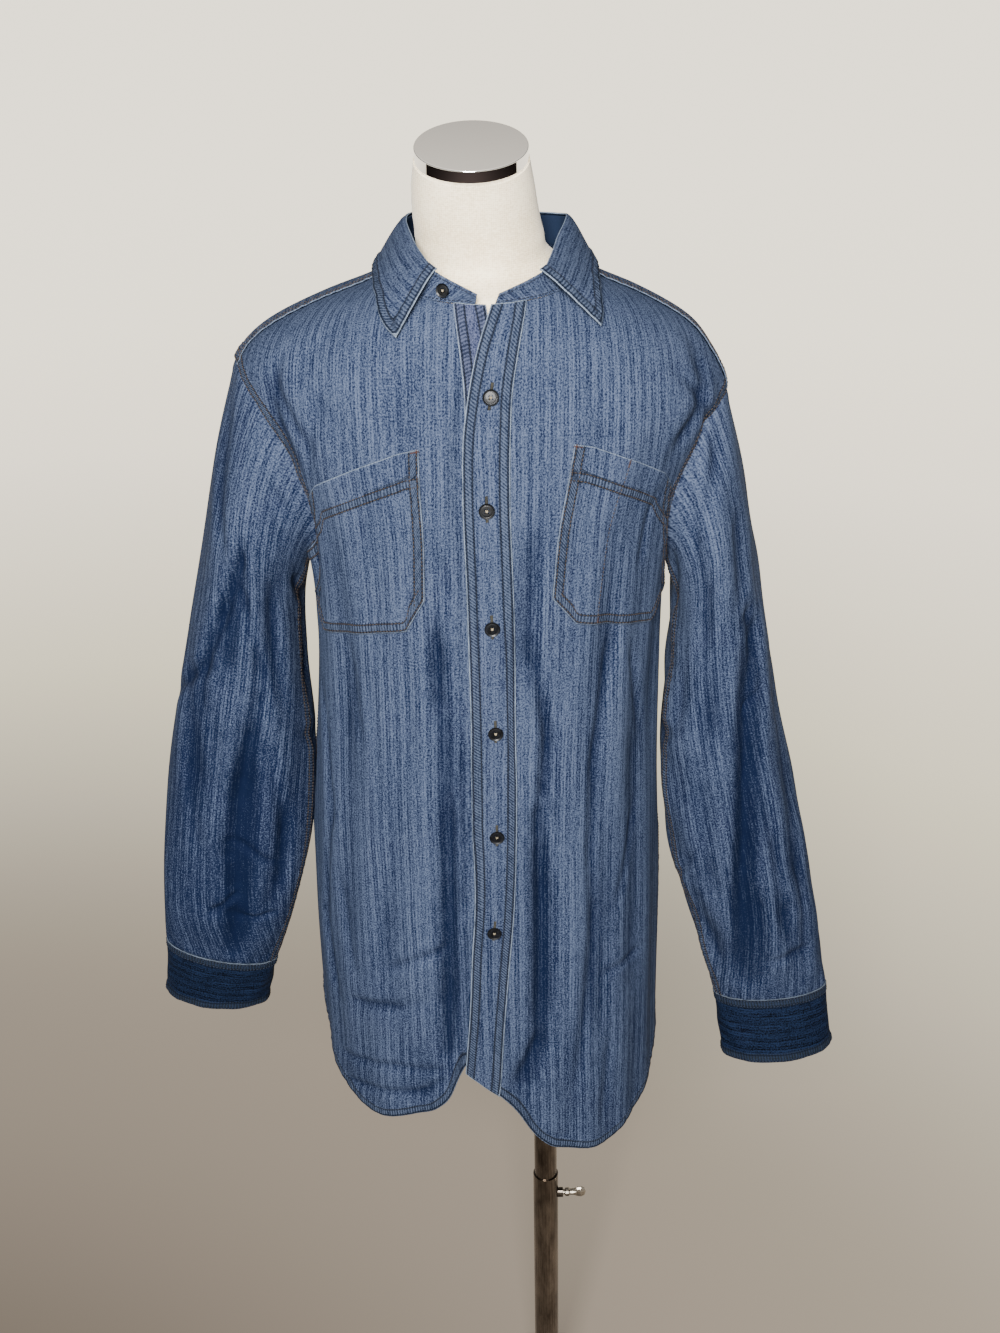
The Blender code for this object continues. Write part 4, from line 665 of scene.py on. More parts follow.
def armhole(side, around):
    """(turn, z) on an armhole: around is 0 at the shoulder, 0.25 in front, 0.5 at the armpit."""
    hole = ARMHOLES[side]
    angle = 2 * np.pi * np.asarray(around, float)
    middle, half = (hole["top"] + hole["pit"]) / 2, (hole["top"] - hole["pit"]) / 2
    reach = np.where(np.sin(angle) > 0, -hole["front"], hole["back"])
    turn = 90 + reach * np.abs(np.sin(angle)) ** ARMHOLE_POWER
    return np.stack([SIGN[side] * turn, middle + half * np.cos(angle)], axis=-1)


def spread(keys, cells):
    """Points along a line of key points, with that many cells between each two."""
    points = [keys[0]]
    for start, end, count in zip(keys, keys[1:], cells):
        points += [start + (end - start) * (k + 1) / count for k in range(count)]
    return np.array(points)


def edge_x(side, z):
    """The x of a front's centre edge, and of the line where its band is sewn."""
    if side == "left":
        return column(BAND, BAND_COLUMNS, "free edge", z), column(BAND, BAND_COLUMNS, "sewn edge", z)
    return column(UNDER, UNDER_COLUMNS, "own edge", z), column(UNDER, UNDER_COLUMNS, "strip's seam", z)


def hem_height(name, turn):
    return column(HEMS[name], ("turn", "z"), "z", turn)


def neck_height(turn):
    return column(NECKLINE, ("turn", "z"), "z", np.abs(turn))


def side_seam(side, share):
    """Height on a side seam, share 0 at the hem and 1 at the armpit."""
    foot = 0.5 * (hem_height(side, 90) + hem_height("back", 90))
    return foot + (ARMHOLES[side]["pit"] - foot) * share


def yoke_front_seam(side, share):
    """(turn, z) on the yoke's front seam, from the neckline to the armhole."""
    neck = np.array([SIGN[side] * NECK_SEAM_TURN, neck_height(NECK_SEAM_TURN)])
    return neck + (armhole(side, YOKE_FRONT) - neck) * np.asarray(share)[..., None]


def in_front(places):
    """(turn, z) places given as (x, z) instead."""
    return np.stack([bare_body(places[..., 0], places[..., 1])[..., 0], places[..., 1]], axis=-1)


def key_turns(side, row, heights):
    """Turns of a row's key columns: centre edge, band's seam, the pocket's four corners, side."""
    edge, band = (SIGN[side] * turn_at(x, heights) for x in edge_x(side, heights))
    return [float(edge), float(band), *row]


def fitted(side, row, cells):
    """A row of a front, moved along it so that its first columns follow the centre edge and the band."""
    band_at, pocket_at = cells[0], cells[0] + cells[1]
    first, second = (SIGN[side] * turn_at(x, row[0, 1]) for x in edge_x(side, row[0, 1]))
    row[: band_at + 1, 0] = np.linspace(first, second, band_at + 1)
    row[band_at : pocket_at + 1, 0] = np.linspace(second, row[pocket_at, 0], cells[1] + 1)
    return row


def front_cells(side):
    return [count * FINE[1] for count in FRONT_CELLS[side]]


def front_grid(side):
    """(turn, z) for each point of a front, rows from the hem to the neckline and the yoke's seam."""
    sign, cells = SIGN[side], front_cells(side)
    bottom, top = POCKETS[side]["bottom"], POCKETS[side]["top"]
    below, pocket_rows, chest_rows = (count * FINE[0] for count in (BELOW_PIT, POCKET_ROWS, CHEST_ROWS))
    # The rows that the whole front is hung between: hem, pocket's foot, pocket's mouth, neckline
    hem_turns = spread(key_turns(side, HEM_TURNS, float(hem_height(side, 0))), cells)
    hem = np.stack([hem_turns, hem_height(side, hem_turns)], axis=-1)
    foot_z = spread([BAND_FOOT, BAND_FOOT, *bottom["z"], ARMHOLES[side]["pit"]], cells)
    foot = np.stack([spread(key_turns(side, (*bottom["turn"], 90), BAND_FOOT), cells), foot_z], axis=-1)
    mouth_corner = armhole(side, PIT_ROUND - POCKET_ROWS / ROUND_CELLS) * (sign, 1)
    mouth_z = spread([BAND_MOUTH, BAND_MOUTH, *top["z"], mouth_corner[1]], cells)
    mouth_turns = spread(key_turns(side, (*top["turn"], mouth_corner[0]), BAND_MOUTH), cells)
    mouth = np.stack([mouth_turns, mouth_z], axis=-1)
    neck_turns = spread(key_turns(side, (POCKET_COLUMN_AT_NECK, NECK_SEAM_TURN), NECKLINE[0][1]), cells[:3])
    neck = np.stack([neck_turns, neck_height(neck_turns)], axis=-1)
    shoulder_cells = SHOULDER_CELLS * FINE[1]
    shoulder = yoke_front_seam(side, np.arange(1, shoulder_cells + 1) / shoulder_cells) * (sign, 1)
    crown = np.concatenate([neck, shoulder])

    outer = np.clip((np.arange(len(hem)) - sum(cells[:5])) / cells[5], 0, 1)[:, None]
    rows = []
    for share in np.arange(below) / below:
        row = hem + (foot - hem) * share
        row += outer * (np.array([90, side_seam(side, share)]) - row[-1])
        rows.append(fitted(side, row, cells))
    for k in range(pocket_rows):
        row = foot + (mouth - foot) * k / pocket_rows
        corner = armhole(side, PIT_ROUND - k / FINE[0] / ROUND_CELLS) * (sign, 1)
        row += outer * (corner - row[-1])
        rows.append(fitted(side, row, cells))
    low, high = in_front(mouth * (sign, 1)), in_front(crown * (sign, 1))
    neck_cells = sum(cells[:3])
    shares = np.concatenate([np.zeros(neck_cells), np.linspace(0, 1, len(hem) - neck_cells)])
    for k in range(chest_rows):
        row = low + (high - low) * k / chest_rows
        corner = armhole(side, PIT_ROUND - (pocket_rows + k) / FINE[0] / ROUND_CELLS)
        row += shares[:, None] * (in_front(corner) - row[-1])
        row = np.stack([sign * turn_at(row[:, 0], row[:, 1]), row[:, 1]], axis=-1)
        row[-1] = corner * (sign, 1)
        rows.append(fitted(side, row, cells))
    rows.append(crown)
    return np.array(rows) * (sign, 1)


def under_lift(grid):
    """How far the under front is sunk, so that the upper one passes over it."""
    x, z = bare_body(grid[..., 0], grid[..., 1])[..., 0], grid[..., 1]
    free = column(BAND, BAND_COLUMNS, "free edge", z)
    return -LAYER * smooth((x - free + LAP_RISE) / LAP_RISE) * smooth((NECKLINE[0][1] + 0.002 - z) / 0.010)


def yoke_seam():
    """(turn, z) along the back's seam with the yoke, from the left armhole round to the right one."""
    left = armhole("left", ARMHOLES["left"]["yoke"])
    right = armhole("right", ARMHOLES["right"]["yoke"]) + (360, 0)
    middle = np.array([180, (left[1] + right[1]) / 2 - YOKE_DIP])
    half = spread([left, middle, right], (BACK_HALF * FINE[1],) * 2)
    half[:, 1] = np.interp(half[:, 0], [left[0], 180, right[0]], [left[1], middle[1], right[1]])
    return half


def back_grid():
    """(turn, z) for each point of the back, turn running from 90 at the left side to 270."""
    seam = yoke_seam()
    share = np.arange(len(seam)) / (len(seam) - 1)
    turns = 90 + 180 * share
    hem = hem_height("back", 180 - np.abs(turns - 180))
    ends = np.array([side_seam("left", 0), side_seam("right", 0)])
    hem += (1 - share) ** 8 * (ends[0] - hem[0]) + share**8 * (ends[1] - hem[-1])
    pits = ARMHOLES["left"]["pit"], ARMHOLES["right"]["pit"]
    armpits = pits[0] + (pits[1] - pits[0]) * share
    below, above = BELOW_PIT * FINE[0], ARMHOLE_BACK * FINE[0]
    rows = [np.stack([turns, hem + (armpits - hem) * k / below], axis=-1) for k in range(below)]
    for up in np.arange(above) / above:
        row = np.stack([turns, armpits], axis=-1) * (1 - up) + seam * up
        left = armhole("left", PIT_ROUND + (ARMHOLES["left"]["yoke"] - PIT_ROUND) * up)
        right = armhole("right", PIT_ROUND + (ARMHOLES["right"]["yoke"] - PIT_ROUND) * up) + (360, 0)
        row += (1 - share)[:, None] ** 2 * (left - row[0]) + share[:, None] ** 2 * (right - row[-1])
        rows.append(row)
    rows.append(seam)
    return np.array(rows)


def yoke_grid():
    """(turn, z) for each point of the yoke, rows from the neckline outwards."""
    armholes = []
    for side in ("left", "right"):
        rounds = np.linspace(1 + YOKE_FRONT, ARMHOLES[side]["yoke"], ARMHOLE_YOKE * FINE[1] + 1)
        armholes.append(armhole(side, rounds) + ((360, 0) if side == "right" else (0, 0)))
    outer = np.concatenate([armholes[0], yoke_seam()[1:-1], armholes[1][::-1]])
    turns = np.linspace(NECK_SEAM_TURN, 360 - NECK_SEAM_TURN, len(outer))
    neck = np.stack([turns, neck_height(180 - np.abs(180 - turns))], axis=-1)
    count = SHOULDER_CELLS * FINE[1]
    return np.array([neck + (outer - neck) * k / count for k in range(count + 1)])


def ellipse(edges, around):
    """A point of a flattened ring: edges holds outer x and z, inner x and z, middle y and half depth."""
    ox, oz, ix, iz, middle, depth = edges
    cosine, sine = np.cos(2 * np.pi * around), np.sin(2 * np.pi * around)
    x, z = (ox + ix) / 2 + cosine * (ox - ix) / 2, (oz + iz) / 2 + cosine * (oz - iz) / 2
    return np.stack([x, middle - sine * depth, z], axis=-1)


def bare_sleeve(side, around, down):
    """A sleeve's skin without its folds."""
    around, down = np.broadcast_arrays(np.asarray(around, float), np.asarray(down, float))
    tube = ellipse([column(SLEEVES[side], SLEEVE_COLUMNS, n, down) for n in SLEEVE_COLUMNS[1:]], around)
    hole = body(*np.moveaxis(armhole(side, around), -1, 0))
    share = np.clip(1 - down / CAP_END, 0, None)[..., None] ** 2
    return tube + (hole - tube) * share


def sleeve_height(side, around, down):
    large = crease_height(SLEEVE_CREASES[side], around, down, 1, SLEEVE_SIZE)
    small = crease_height(SMALL_SLEEVE_CREASES[side], around, down, 1, SLEEVE_SIZE)
    slow = waves(around, down, 1, {**SLEEVE_WAVES, "seed": SLEEVE_WAVES["seed"] + (side == "left")})
    fade = smooth(down / SLEEVE_FADE) * smooth((1 - down) / SLEEVE_FADE)
    pleats = np.sin(2 * np.pi * (GATHERS["count"] * around + 0.8 * np.sin(2 * np.pi * 5 * around)))
    near_cuff = smooth((GATHERS["reach"] - 1 + down) / GATHERS["reach"]) * smooth((1 - down) / 0.006)
    gathers = GATHERS["depth"] * near_cuff * pleats * (0.7 + 0.3 * np.sin(2 * np.pi * 3 * around))
    return (large + slow) * fade + small * smooth(down / 0.03) * smooth((1 - down) / 0.008) + gathers


def sleeve_skin(side):
    """A sleeve's skin as a function of (around, down), folds and all."""

    def bare(around, down):
        return bare_sleeve(side, around, down)

    def skin(around, down):
        return lifted(bare, around, down, SIGN[side] * sleeve_height(side, around, down), SLEEVE_STEP)

    return skin


def cuff_skin(side):
    """A cuff's skin as a function of (around, down): down is 0 at the sleeve and 1 at the lower edge."""
    top, cuff = SLEEVES[side][-1][1:], CUFFS[side]
    foot = (*cuff["outer"], *cuff["inner"], cuff["middle"], cuff["depth"])

    def skin(around, down):
        return ellipse([start + (end - start) * down for start, end in zip(top, foot)], around)

    return skin


def on_side(tables, names, name, bearing):
    """A named column of a table kept for each side, read at a bearing from 0 to 360."""
    near = 180 - np.abs(180 - bearing)
    sides = [column(tables[side], names, name, near) for side in ("right", "left")]
    return np.where(bearing > 180, *sides)


def inwards(points):
    """The level direction from each point to the neck's middle."""
    way = np.array([*NECK_CENTRE, 0]) - points * (1, 1, 0)
    return way / np.linalg.norm(way, axis=-1, keepdims=True)


def stand_skin(bearing, up):
    """The collar stand: bearing is the turn from 0 to 360, up is 0 at the neckline and 1 at the fold."""
    bearing, up = np.broadcast_arrays(np.asarray(bearing, float), np.asarray(up, float))
    foot = body(bearing, neck_height(180 - np.abs(180 - bearing))) + (0, 0, STAND_GAP)
    fold = np.stack([on_side(FOLDS, FOLD_COLUMNS, name, bearing) for name in FOLD_COLUMNS[1:]], axis=-1)
    return foot + (fold - foot) * up[..., None]


def leaf_skin(bearing, down):
    """The collar leaf: down is 0 over the stand and 1 at the outer edge."""
    bearing, down = np.broadcast_arrays(np.asarray(bearing, float), np.asarray(down, float))
    rim = stand_skin(bearing, 1.0)
    start = rim + (0, 0, LEAF_RISE) + inwards(rim) * STAND_CLOTH / 2
    roll = start - inwards(rim) * LEAF_ROLL + (0, 0, LEAF_RISE)
    turn, z, lift = (on_side(LEAVES, LEAF_COLUMNS, name, bearing) for name in LEAF_COLUMNS[1:])
    end = lifted(body, np.where(bearing > 180, 360 - turn, turn), z, lift, BODY_STEP)
    k = down[..., None]
    return start * (1 - k) ** 2 + 2 * roll * k * (1 - k) + end * k * k


EDGES = ("foot", "head", "start", "end")
SHEETS = {}  # what each sheet of cloth was made from, for what is sewn on it


def arc(points):
    """The length of a line of points, the last but one axis of an array."""
    return np.linalg.norm(np.diff(points, axis=-2), axis=-1).sum(axis=-1)


def grain_on(surface, first_zero, second_zero):
    """Gives the flat (across, up) of places on a skin, in metres, counted from where both are zero."""
    share = np.linspace(0, 1, 13)

    def flat(first, second):
        first, second = first[..., None], second[..., None]
        level = surface(first_zero + (first - first_zero) * share, second + 0 * share)
        upright = surface(first + 0 * share, second_zero + (second - second_zero) * share)
        across = np.sign(first - first_zero)[..., 0] * arc(level)
        return np.stack([across, np.sign(second - second_zero)[..., 0] * arc(upright)], axis=-1)

    return flat


def sleeve_grain(side):
    """As grain_on, for a sleeve: counted round its axis from its outer edge, and along the axis."""
    share = np.linspace(0, 1, 17)

    def axis(down):
        edges = [column(SLEEVES[side], SLEEVE_COLUMNS, name, down) for name in SLEEVE_COLUMNS[1:]]
        return np.stack([(edges[0] + edges[2]) / 2, edges[4], (edges[1] + edges[3]) / 2], axis=-1)

    def flat(around, down):
        way = axis(down + 0.03) - axis(down - 0.03)
        way /= np.linalg.norm(way, axis=-1, keepdims=True)
        ring = bare_sleeve(side, 1 + (around[..., None] - 1) * share, down[..., None] + 0 * share)
        steps = np.diff(ring, axis=-2)
        steps -= (steps * way[..., None, :]).sum(axis=-1, keepdims=True) * way[..., None, :]
        across = np.sign(around - 1) * np.linalg.norm(steps, axis=-1).sum(axis=-1)
        along = arc(axis(down[..., None] * share)) + ((ring[..., -1, :] - axis(down)) * way).sum(axis=-1)
        return np.stack([across, along], axis=-1)

    return flat


def crosswise(grain):
    """The same grain with the stripes running the other way."""
    return lambda first, second: grain(first, second)[..., ::-1]


def line_of(grid, edge, depth=0):
    """A line of a grid, depth 0 being the edge itself."""
    if edge in ("foot", "head"):
        return grid[depth if edge == "foot" else -1 - depth]
    return grid[:, depth if edge == "start" else -1 - depth]


def along_edge(edge, values):
    """Values for each point of an edge, shaped to spread over the grid."""
    return values[None, :] if edge in ("foot", "head") else values[:, None]


def with_edge(grid, skin, edge, tuck):
    """The grid with one more line at an edge: an allowance beyond it, or the start of its rounding."""
    outer, inner = line_of(grid, edge), line_of(grid, edge, 1)
    reach = np.linalg.norm(skin(*outer.T) - skin(*inner.T), axis=-1).clip(1e-4)[:, None]
    tuck = tuck[:, None]
    far = outer + (outer - inner) * tuck / reach
    near = np.where(tuck > 0, outer, outer + (inner - outer) * np.minimum(RIM / reach, 0.5))
    axis = 0 if edge in ("foot", "head") else 1
    pair = [np.expand_dims(part, axis) for part in (far, near)]
    if edge in ("foot", "start"):
        rest = grid[1:] if axis == 0 else grid[:, 1:]
        return np.concatenate([*pair, rest], axis=axis)
    rest = grid[:-1] if axis == 0 else grid[:, :-1]
    return np.concatenate([rest, *pair[::-1]], axis=axis)


def puckers(run, seed):
    """The uneven ladder of a washed seam, from -1 to 1, along its run in metres."""
    wide = run / 0.0118 + 0.8 * np.sin(run / 0.031 + seed) + 0.5 * np.sin(run / 0.083 + 2 * seed)
    narrow = run / 0.0067 + 0.7 * np.sin(run / 0.045 + 3 * seed)
    strength = 0.7 + 0.3 * np.sin(run / 0.052 + 5 * seed)
    return strength * (0.6 * np.cos(2 * np.pi * wide) + 0.4 * np.cos(2 * np.pi * narrow))


def build_sheet(
    name, skin, grid, edges, grain, step, outward=1, lift=0.0, thickness=CLOTH, seed=0, height=None,
    rub=0.2, painted_shade=0.0
):
    """Works out a sheet of cloth: its two faces, its flat cut and what its material reads, all on one grid.

    edges says how each edge is finished and how far an allowance is tucked beyond it, point by point. outward
    is 1 or -1, for which side of the skin shows. lift is a height or a function that gives one for a grid.
    rub is how far the dye has gone from its folded edges; the last argument is painted shade, how much darker
    the cloth is coloured towards the hem and the cuffs.
    """
    kinds = {edge: edges.get(edge, ("raw", 0))[0] for edge in EDGES}
    tucks = {}
    for edge in EDGES:
        length = grid.shape[1] if edge in ("foot", "head") else grid.shape[0]
        tucks[edge] = np.broadcast_to(np.asarray(edges.get(edge, ("raw", 0))[1], float), (length,)).copy()
    for edge in EDGES:
        grid = with_edge(grid, skin, edge, tucks[edge])
        for other in ("start", "end") if edge in ("foot", "head") else ("foot", "head"):
            side = (1, 0) if edge in ("foot", "start") else (0, 1)
            tucks[other] = np.pad(tucks[other], side, mode="edge")
    first, second = grid[..., 0], grid[..., 1]
    points = skin(first, second)
    normals = outward * (lifted(skin, first, second, np.ones(first.shape), step) - points)
    lift = lift(grid) if callable(lift) else lift
    across = np.pad(np.linalg.norm(np.diff(points, axis=1), axis=-1).cumsum(axis=1), ((0, 0), (1, 0)))
    along = np.pad(np.linalg.norm(np.diff(points, axis=0), axis=-1).cumsum(axis=0), ((1, 0), (0, 0)))
    gaps = {"start": across, "end": across[:, -1:] - across, "foot": along, "head": along[-1:] - along}
    bulk, sunk, pucker, round_off = (np.zeros(first.shape) for _ in range(4))
    seam, worn, beside = np.full(first.shape, 0.099), np.full(first.shape, 0.099), np.zeros(first.shape)
    for number, edge in enumerate(EDGES):
        rim, inner = line_of(points, edge), line_of(points, edge, 2)
        way = inner - rim
        way /= np.linalg.norm(way, axis=-1, keepdims=True).clip(1e-9)
        run_way = np.gradient(rim, axis=0)
        run_way /= np.linalg.norm(run_way, axis=-1, keepdims=True).clip(1e-9)
        sine = np.linalg.norm(np.cross(way, run_way), axis=-1).clip(0.3)
        gaps[edge] = (gaps[edge] - along_edge(edge, tucks[edge])) * along_edge(edge, sine)
        gap, run = gaps[edge], along if edge in ("start", "end") else across
        open_edge = along_edge(edge, tucks[edge] == 0)
        if kinds[edge] == "raw":
            continue
        ladder = puckers(run + (0.9 * gap if kinds[edge] == "hem" else 0), seed + number)
        window = np.exp(-(((gap - 0.005) / 0.0042) ** 2)) + 0.4 * np.exp(-((gap / 0.016) ** 2))
        if kinds[edge] == "mouth":
            window = np.exp(-(((gap - MOUTH_ROWS - 0.005) / 0.0036) ** 2))
        strength = {"over": 1.0, "hem": 1.1, "mouth": 0.9, "fold": 0.25, "under": 0.0}[kinds[edge]]
        pucker += np.where(open_edge, strength, 0.55) * window * ladder * (gap > -TUCK)
        sunk = np.maximum(sunk, ~open_edge * DROP * smooth((0.0045 - gap) / 0.0045))
        if kinds[edge] in BULK:
            rise, width = BULK[kinds[edge]]
            bulk = np.maximum(bulk, open_edge * rise * smooth((width - gap) / 0.0024))
            sewn = gap - MOUTH_ROWS if kinds[edge] == "mouth" else gap
            shown = open_edge & (sewn > 0) & (kinds[edge] != "fold")
            beside = np.where(shown & (sewn < seam), run, beside)
            seam = np.where(shown, np.minimum(seam, sewn), seam)
            worn = np.where(open_edge, np.minimum(worn, gap), worn)
            line_of(round_off, edge)[...] = np.maximum(
                line_of(round_off, edge), (tucks[edge] == 0) * thickness * 0.33
            )
    pucker = np.clip(pucker, -1.3, 1.3)
    total = lift + bulk - sunk + PUCKER * pucker
    # The folds' height, which the denim paints as shade in its hollows and as wear on its ridges
    fold_shade_and_wear = height(first, second) if height else np.zeros(first.shape)
    made = {
        "name": name,
        "grid": grid,
        "outer": points + (total - round_off)[..., None] * normals,
        "inner": points + (total - thickness + round_off)[..., None] * normals,
        "normals": normals,
        "gaps": gaps,
        "open": {edge: tucks[edge] == 0 for edge in EDGES},
        "flat": grain(first, second),
        "marks": {
            "seam": seam * 1000,
            "beside": beside * 1000,
            "worn": worn * 1000,
            "pucker": pucker,
            "fold_shade_and_wear": fold_shade_and_wear * 1000,
            "painted_shade": painted_shade(first, second) if callable(painted_shade) else np.full(first.shape, painted_shade),
        },
        "rub": rub,
    }
    SHEETS[name] = made
    return made


def tail_shade(turn, z):
    """Painted shade on the shirt's tails: how much darker they are coloured than its chest."""
    return TAIL_SHADE["most"] * smooth((TAIL_SHADE["from"] - z) / TAIL_SHADE["over"])


def add_sheet(made, materials):
    """The object of a worked-out sheet, with its flat cut, its marks and its materials."""
    name, outer = made["name"], made["outer"]
    rows, columns = outer.shape[:2]
    count = rows * columns
    index = np.arange(count).reshape(rows, columns)
    face = np.stack([index[:-1, :-1], index[:-1, 1:], index[1:, 1:], index[1:, :-1]], axis=-1).reshape(-1, 4)
    rim = np.concatenate([index[0], index[1:, -1], index[-1, -2::-1], index[-2:0:-1, 0]])
    onward = np.roll(rim, -1)
    wall = np.stack([onward, rim, rim + count, onward + count], axis=-1)
    faces = np.concatenate([face, face[:, ::-1] + count, wall])
    middle = (rows // 2, columns // 2)
    facing = np.cross(
        outer[middle[0], middle[1] + 1] - outer[middle], outer[middle[0] + 1, middle[1]] - outer[middle]
    )
    if facing @ made["normals"][middle] < 0:
        faces = faces[:, ::-1]
    points = np.concatenate([outer.reshape(-1, 3), made["inner"].reshape(-1, 3)])
    mesh = bpy.data.meshes.new(name)
    mesh.from_pydata(points.tolist(), [], faces.tolist())
    flat = made["flat"].reshape(-1, 2)
    layer = mesh.uv_layers.new(name="cut")
    layer.data.foreach_set("uv", flat[faces.ravel() % count].ravel())
    marks = {
        **made["marks"], "inside": np.zeros((rows, columns)), "rub": np.full((rows, columns), made["rub"])
    }
    for mark, values in marks.items():
        both = np.concatenate([values.ravel(), values.ravel() + (mark == "inside")])
        mesh.attributes.new(mark, "FLOAT", "POINT").data.foreach_set("value", both)
    mesh.shade_smooth()
    piece = bpy.data.objects.new(name, mesh)
    bpy.context.scene.collection.objects.link(piece)
    for material in materials:
        mesh.materials.append(material)
    cells = made["flat"]
    one, two = cells[1:, 1:] - cells[:-1, :-1], cells[1:, :-1] - cells[:-1, 1:]
    area = float(np.abs(one[..., 0] * two[..., 1] - one[..., 1] * two[..., 0]).sum() / 2)
    width, length = (float(v) for v in np.ptp(cells.reshape(-1, 2), axis=0))
    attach(piece, "figure")
    made["cut"] = (width, length, area)
    return piece


def dress(made, nodes, materials):
    """Adds a sheet and lets it stand for its solid."""
    piece = add_sheet(made, materials)
    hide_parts(*nodes)
    return piece


def seam_line(made, edge, gap, trim=(0.0, 0.0)):
    """Points and normals on a sheet's outer face at one distance from an edge, cut short at both ends."""
    gaps, outer, normals = made["gaps"][edge], made["outer"], made["normals"]
    keep = made["open"][edge]
    if edge in ("foot", "head"):
        gaps, outer, normals = gaps.T, outer.swapaxes(0, 1), normals.swapaxes(0, 1)
    if edge in ("head", "end"):
        gaps, outer, normals = gaps[:, ::-1], outer[:, ::-1], normals[:, ::-1]
    places = np.array([np.interp(gap, row, np.arange(len(row))) for row in gaps])[keep]
    outer, normals = outer[keep], normals[keep]
    low = np.minimum(places.astype(int), outer.shape[1] - 2)
    k, lines = (places - low)[:, None], np.arange(len(places))
    points = outer[lines, low] * (1 - k) + outer[lines, low + 1] * k
    ups = normals[lines, low] * (1 - k) + normals[lines, low + 1] * k
    run = np.concatenate([[0], np.linalg.norm(np.diff(points, axis=0), axis=-1).cumsum()])
    inside = (run >= trim[0]) & (run <= run[-1] - trim[1])
    return points[inside], ups[inside]


def grid_line(made, columns, rows):
    """Points and normals on a sheet's outer face along a straight line through its grid, in shares of it."""
    shape = np.array(made["outer"].shape[:2]) - 1
    count = 60
    row = np.linspace(*rows, count) * shape[0]
    col = np.linspace(*columns, count) * shape[1]
    low_row, low_col = np.minimum(row.astype(int), shape[0] - 1), np.minimum(col.astype(int), shape[1] - 1)
    a, b = (row - low_row)[:, None], (col - low_col)[:, None]
    out = []
    for field in (made["outer"], made["normals"]):
        low = field[low_row, low_col] * (1 - b) + field[low_row, low_col + 1] * b
        high = field[low_row + 1, low_col] * (1 - b) + field[low_row + 1, low_col + 1] * b
        out.append(low * (1 - a) + high * a)
    return out


def bars(starts, ends, ups, radius):
    """Short threads from starts to ends, four-sided and pointed, as points and faces."""
    way = ends - starts
    side = np.cross(way, ups)
    side /= np.linalg.norm(side, axis=-1, keepdims=True).clip(1e-9)
    rings = []
    for share in (0.18, 0.82):
        centre = starts + way * share + ups * radius * 0.35
        rings += [
            centre + side * radius, centre + ups * radius, centre - side * radius, centre - ups * radius
        ]
    tips = [part - ups * radius * 0.6 for part in (starts, ends)]
    points = np.stack([tips[0], *rings, tips[1]], axis=1).reshape(-1, 3)
    pattern = [(0, 1 + k, 1 + (k + 1) % 4) for k in range(4)]
    pattern += [(1 + k, 5 + k, 5 + (k + 1) % 4, 1 + (k + 1) % 4) for k in range(4)]
    pattern += [(9, 5 + (k + 1) % 4, 5 + k) for k in range(4)]
    faces = [
        tuple(10 * number + corner for corner in face) for number in range(len(starts)) for face in pattern
    ]
    return points, faces


def running_stitch(line, settings, length=None):
    """Stitches along a line of points and normals."""
    points, ups = line
    run = np.concatenate([[0], np.linalg.norm(np.diff(points, axis=0), axis=-1).cumsum()])
    length = length or settings.stitch_length
    places = np.arange(0, run[-1] - length, length)

    def at(where):
        return np.stack([np.interp(where, run, points[:, k]) for k in range(3)], axis=-1)

    normals = np.stack([np.interp(places, run, ups[:, k]) for k in range(3)], axis=-1)
    return bars(at(places + 0.1 * length), at(places + 0.9 * length), normals, settings.thread_width / 2)


def zigzag(line, width, pitch, radius):
    """Close stitches across a line, as on a buttonhole or a bar-tack."""
    points, ups = line
    run = np.concatenate([[0], np.linalg.norm(np.diff(points, axis=0), axis=-1).cumsum()])
    places = np.arange(0, run[-1], pitch)
    centre = np.stack([np.interp(places, run, points[:, k]) for k in range(3)], axis=-1)
    normal = np.stack([np.interp(places, run, ups[:, k]) for k in range(3)], axis=-1)
    side = np.cross(np.gradient(centre, axis=0), normal)
    side /= np.linalg.norm(side, axis=-1, keepdims=True)
    lean = np.gradient(centre, axis=0) * 0.3
    return bars(centre - side * width / 2 - lean, centre + side * width / 2 + lean, normal, radius)


def add_threads(name, groups, material):
    """One object from many groups of short threads."""
    points, faces = [], []
    for group_points, group_faces in groups:
        start = sum(len(part) for part in points)
        points.append(group_points)
        faces += [tuple(start + corner for corner in face) for face in group_faces]
    mesh = bpy.data.meshes.new(name)
    mesh.from_pydata(np.concatenate(points).tolist(), [], faces)
    mesh.shade_smooth()
    mesh.materials.append(material)
    piece = bpy.data.objects.new(name, mesh)
    bpy.context.scene.collection.objects.link(piece)
    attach(piece, "figure")
    return piece


def linear(hex_colour):
    """An sRGB hex colour as linear red, green, blue and alpha."""
    parts = [int(hex_colour[k : k + 2], 16) / 255 for k in (1, 3, 5)]
    return (*[p / 12.92 if p <= 0.04045 else ((p + 0.055) / 1.055) ** 2.4 for p in parts], 1.0)


def add_node(tree, kind, inputs=None, **settings):
    """Adds a node: settings are its properties, inputs its values, or the sockets or nodes they come from."""
    node = tree.nodes.new(f"ShaderNode{kind}")
    for name, value in settings.items():
        setattr(node, name, value)
    for name, value in (inputs or {}).items():
        if isinstance(value, bpy.types.Node):
            value = value.outputs[0]
        if isinstance(value, bpy.types.NodeSocket):
            tree.links.new(value, node.inputs[name])
        else:
            node.inputs[name].default_value = value
    return node


def new_material(name, **values):
    """A material with only a Principled shader, whose constant values are set on its own sockets."""
    material = bpy.data.materials.new(name)
    material.use_nodes = True
    shader = material.node_tree.nodes["Principled BSDF"]
    for socket, value in values.items():
        shader.inputs[socket.replace("_", " ")].default_value = value
    return material, material.node_tree, shader


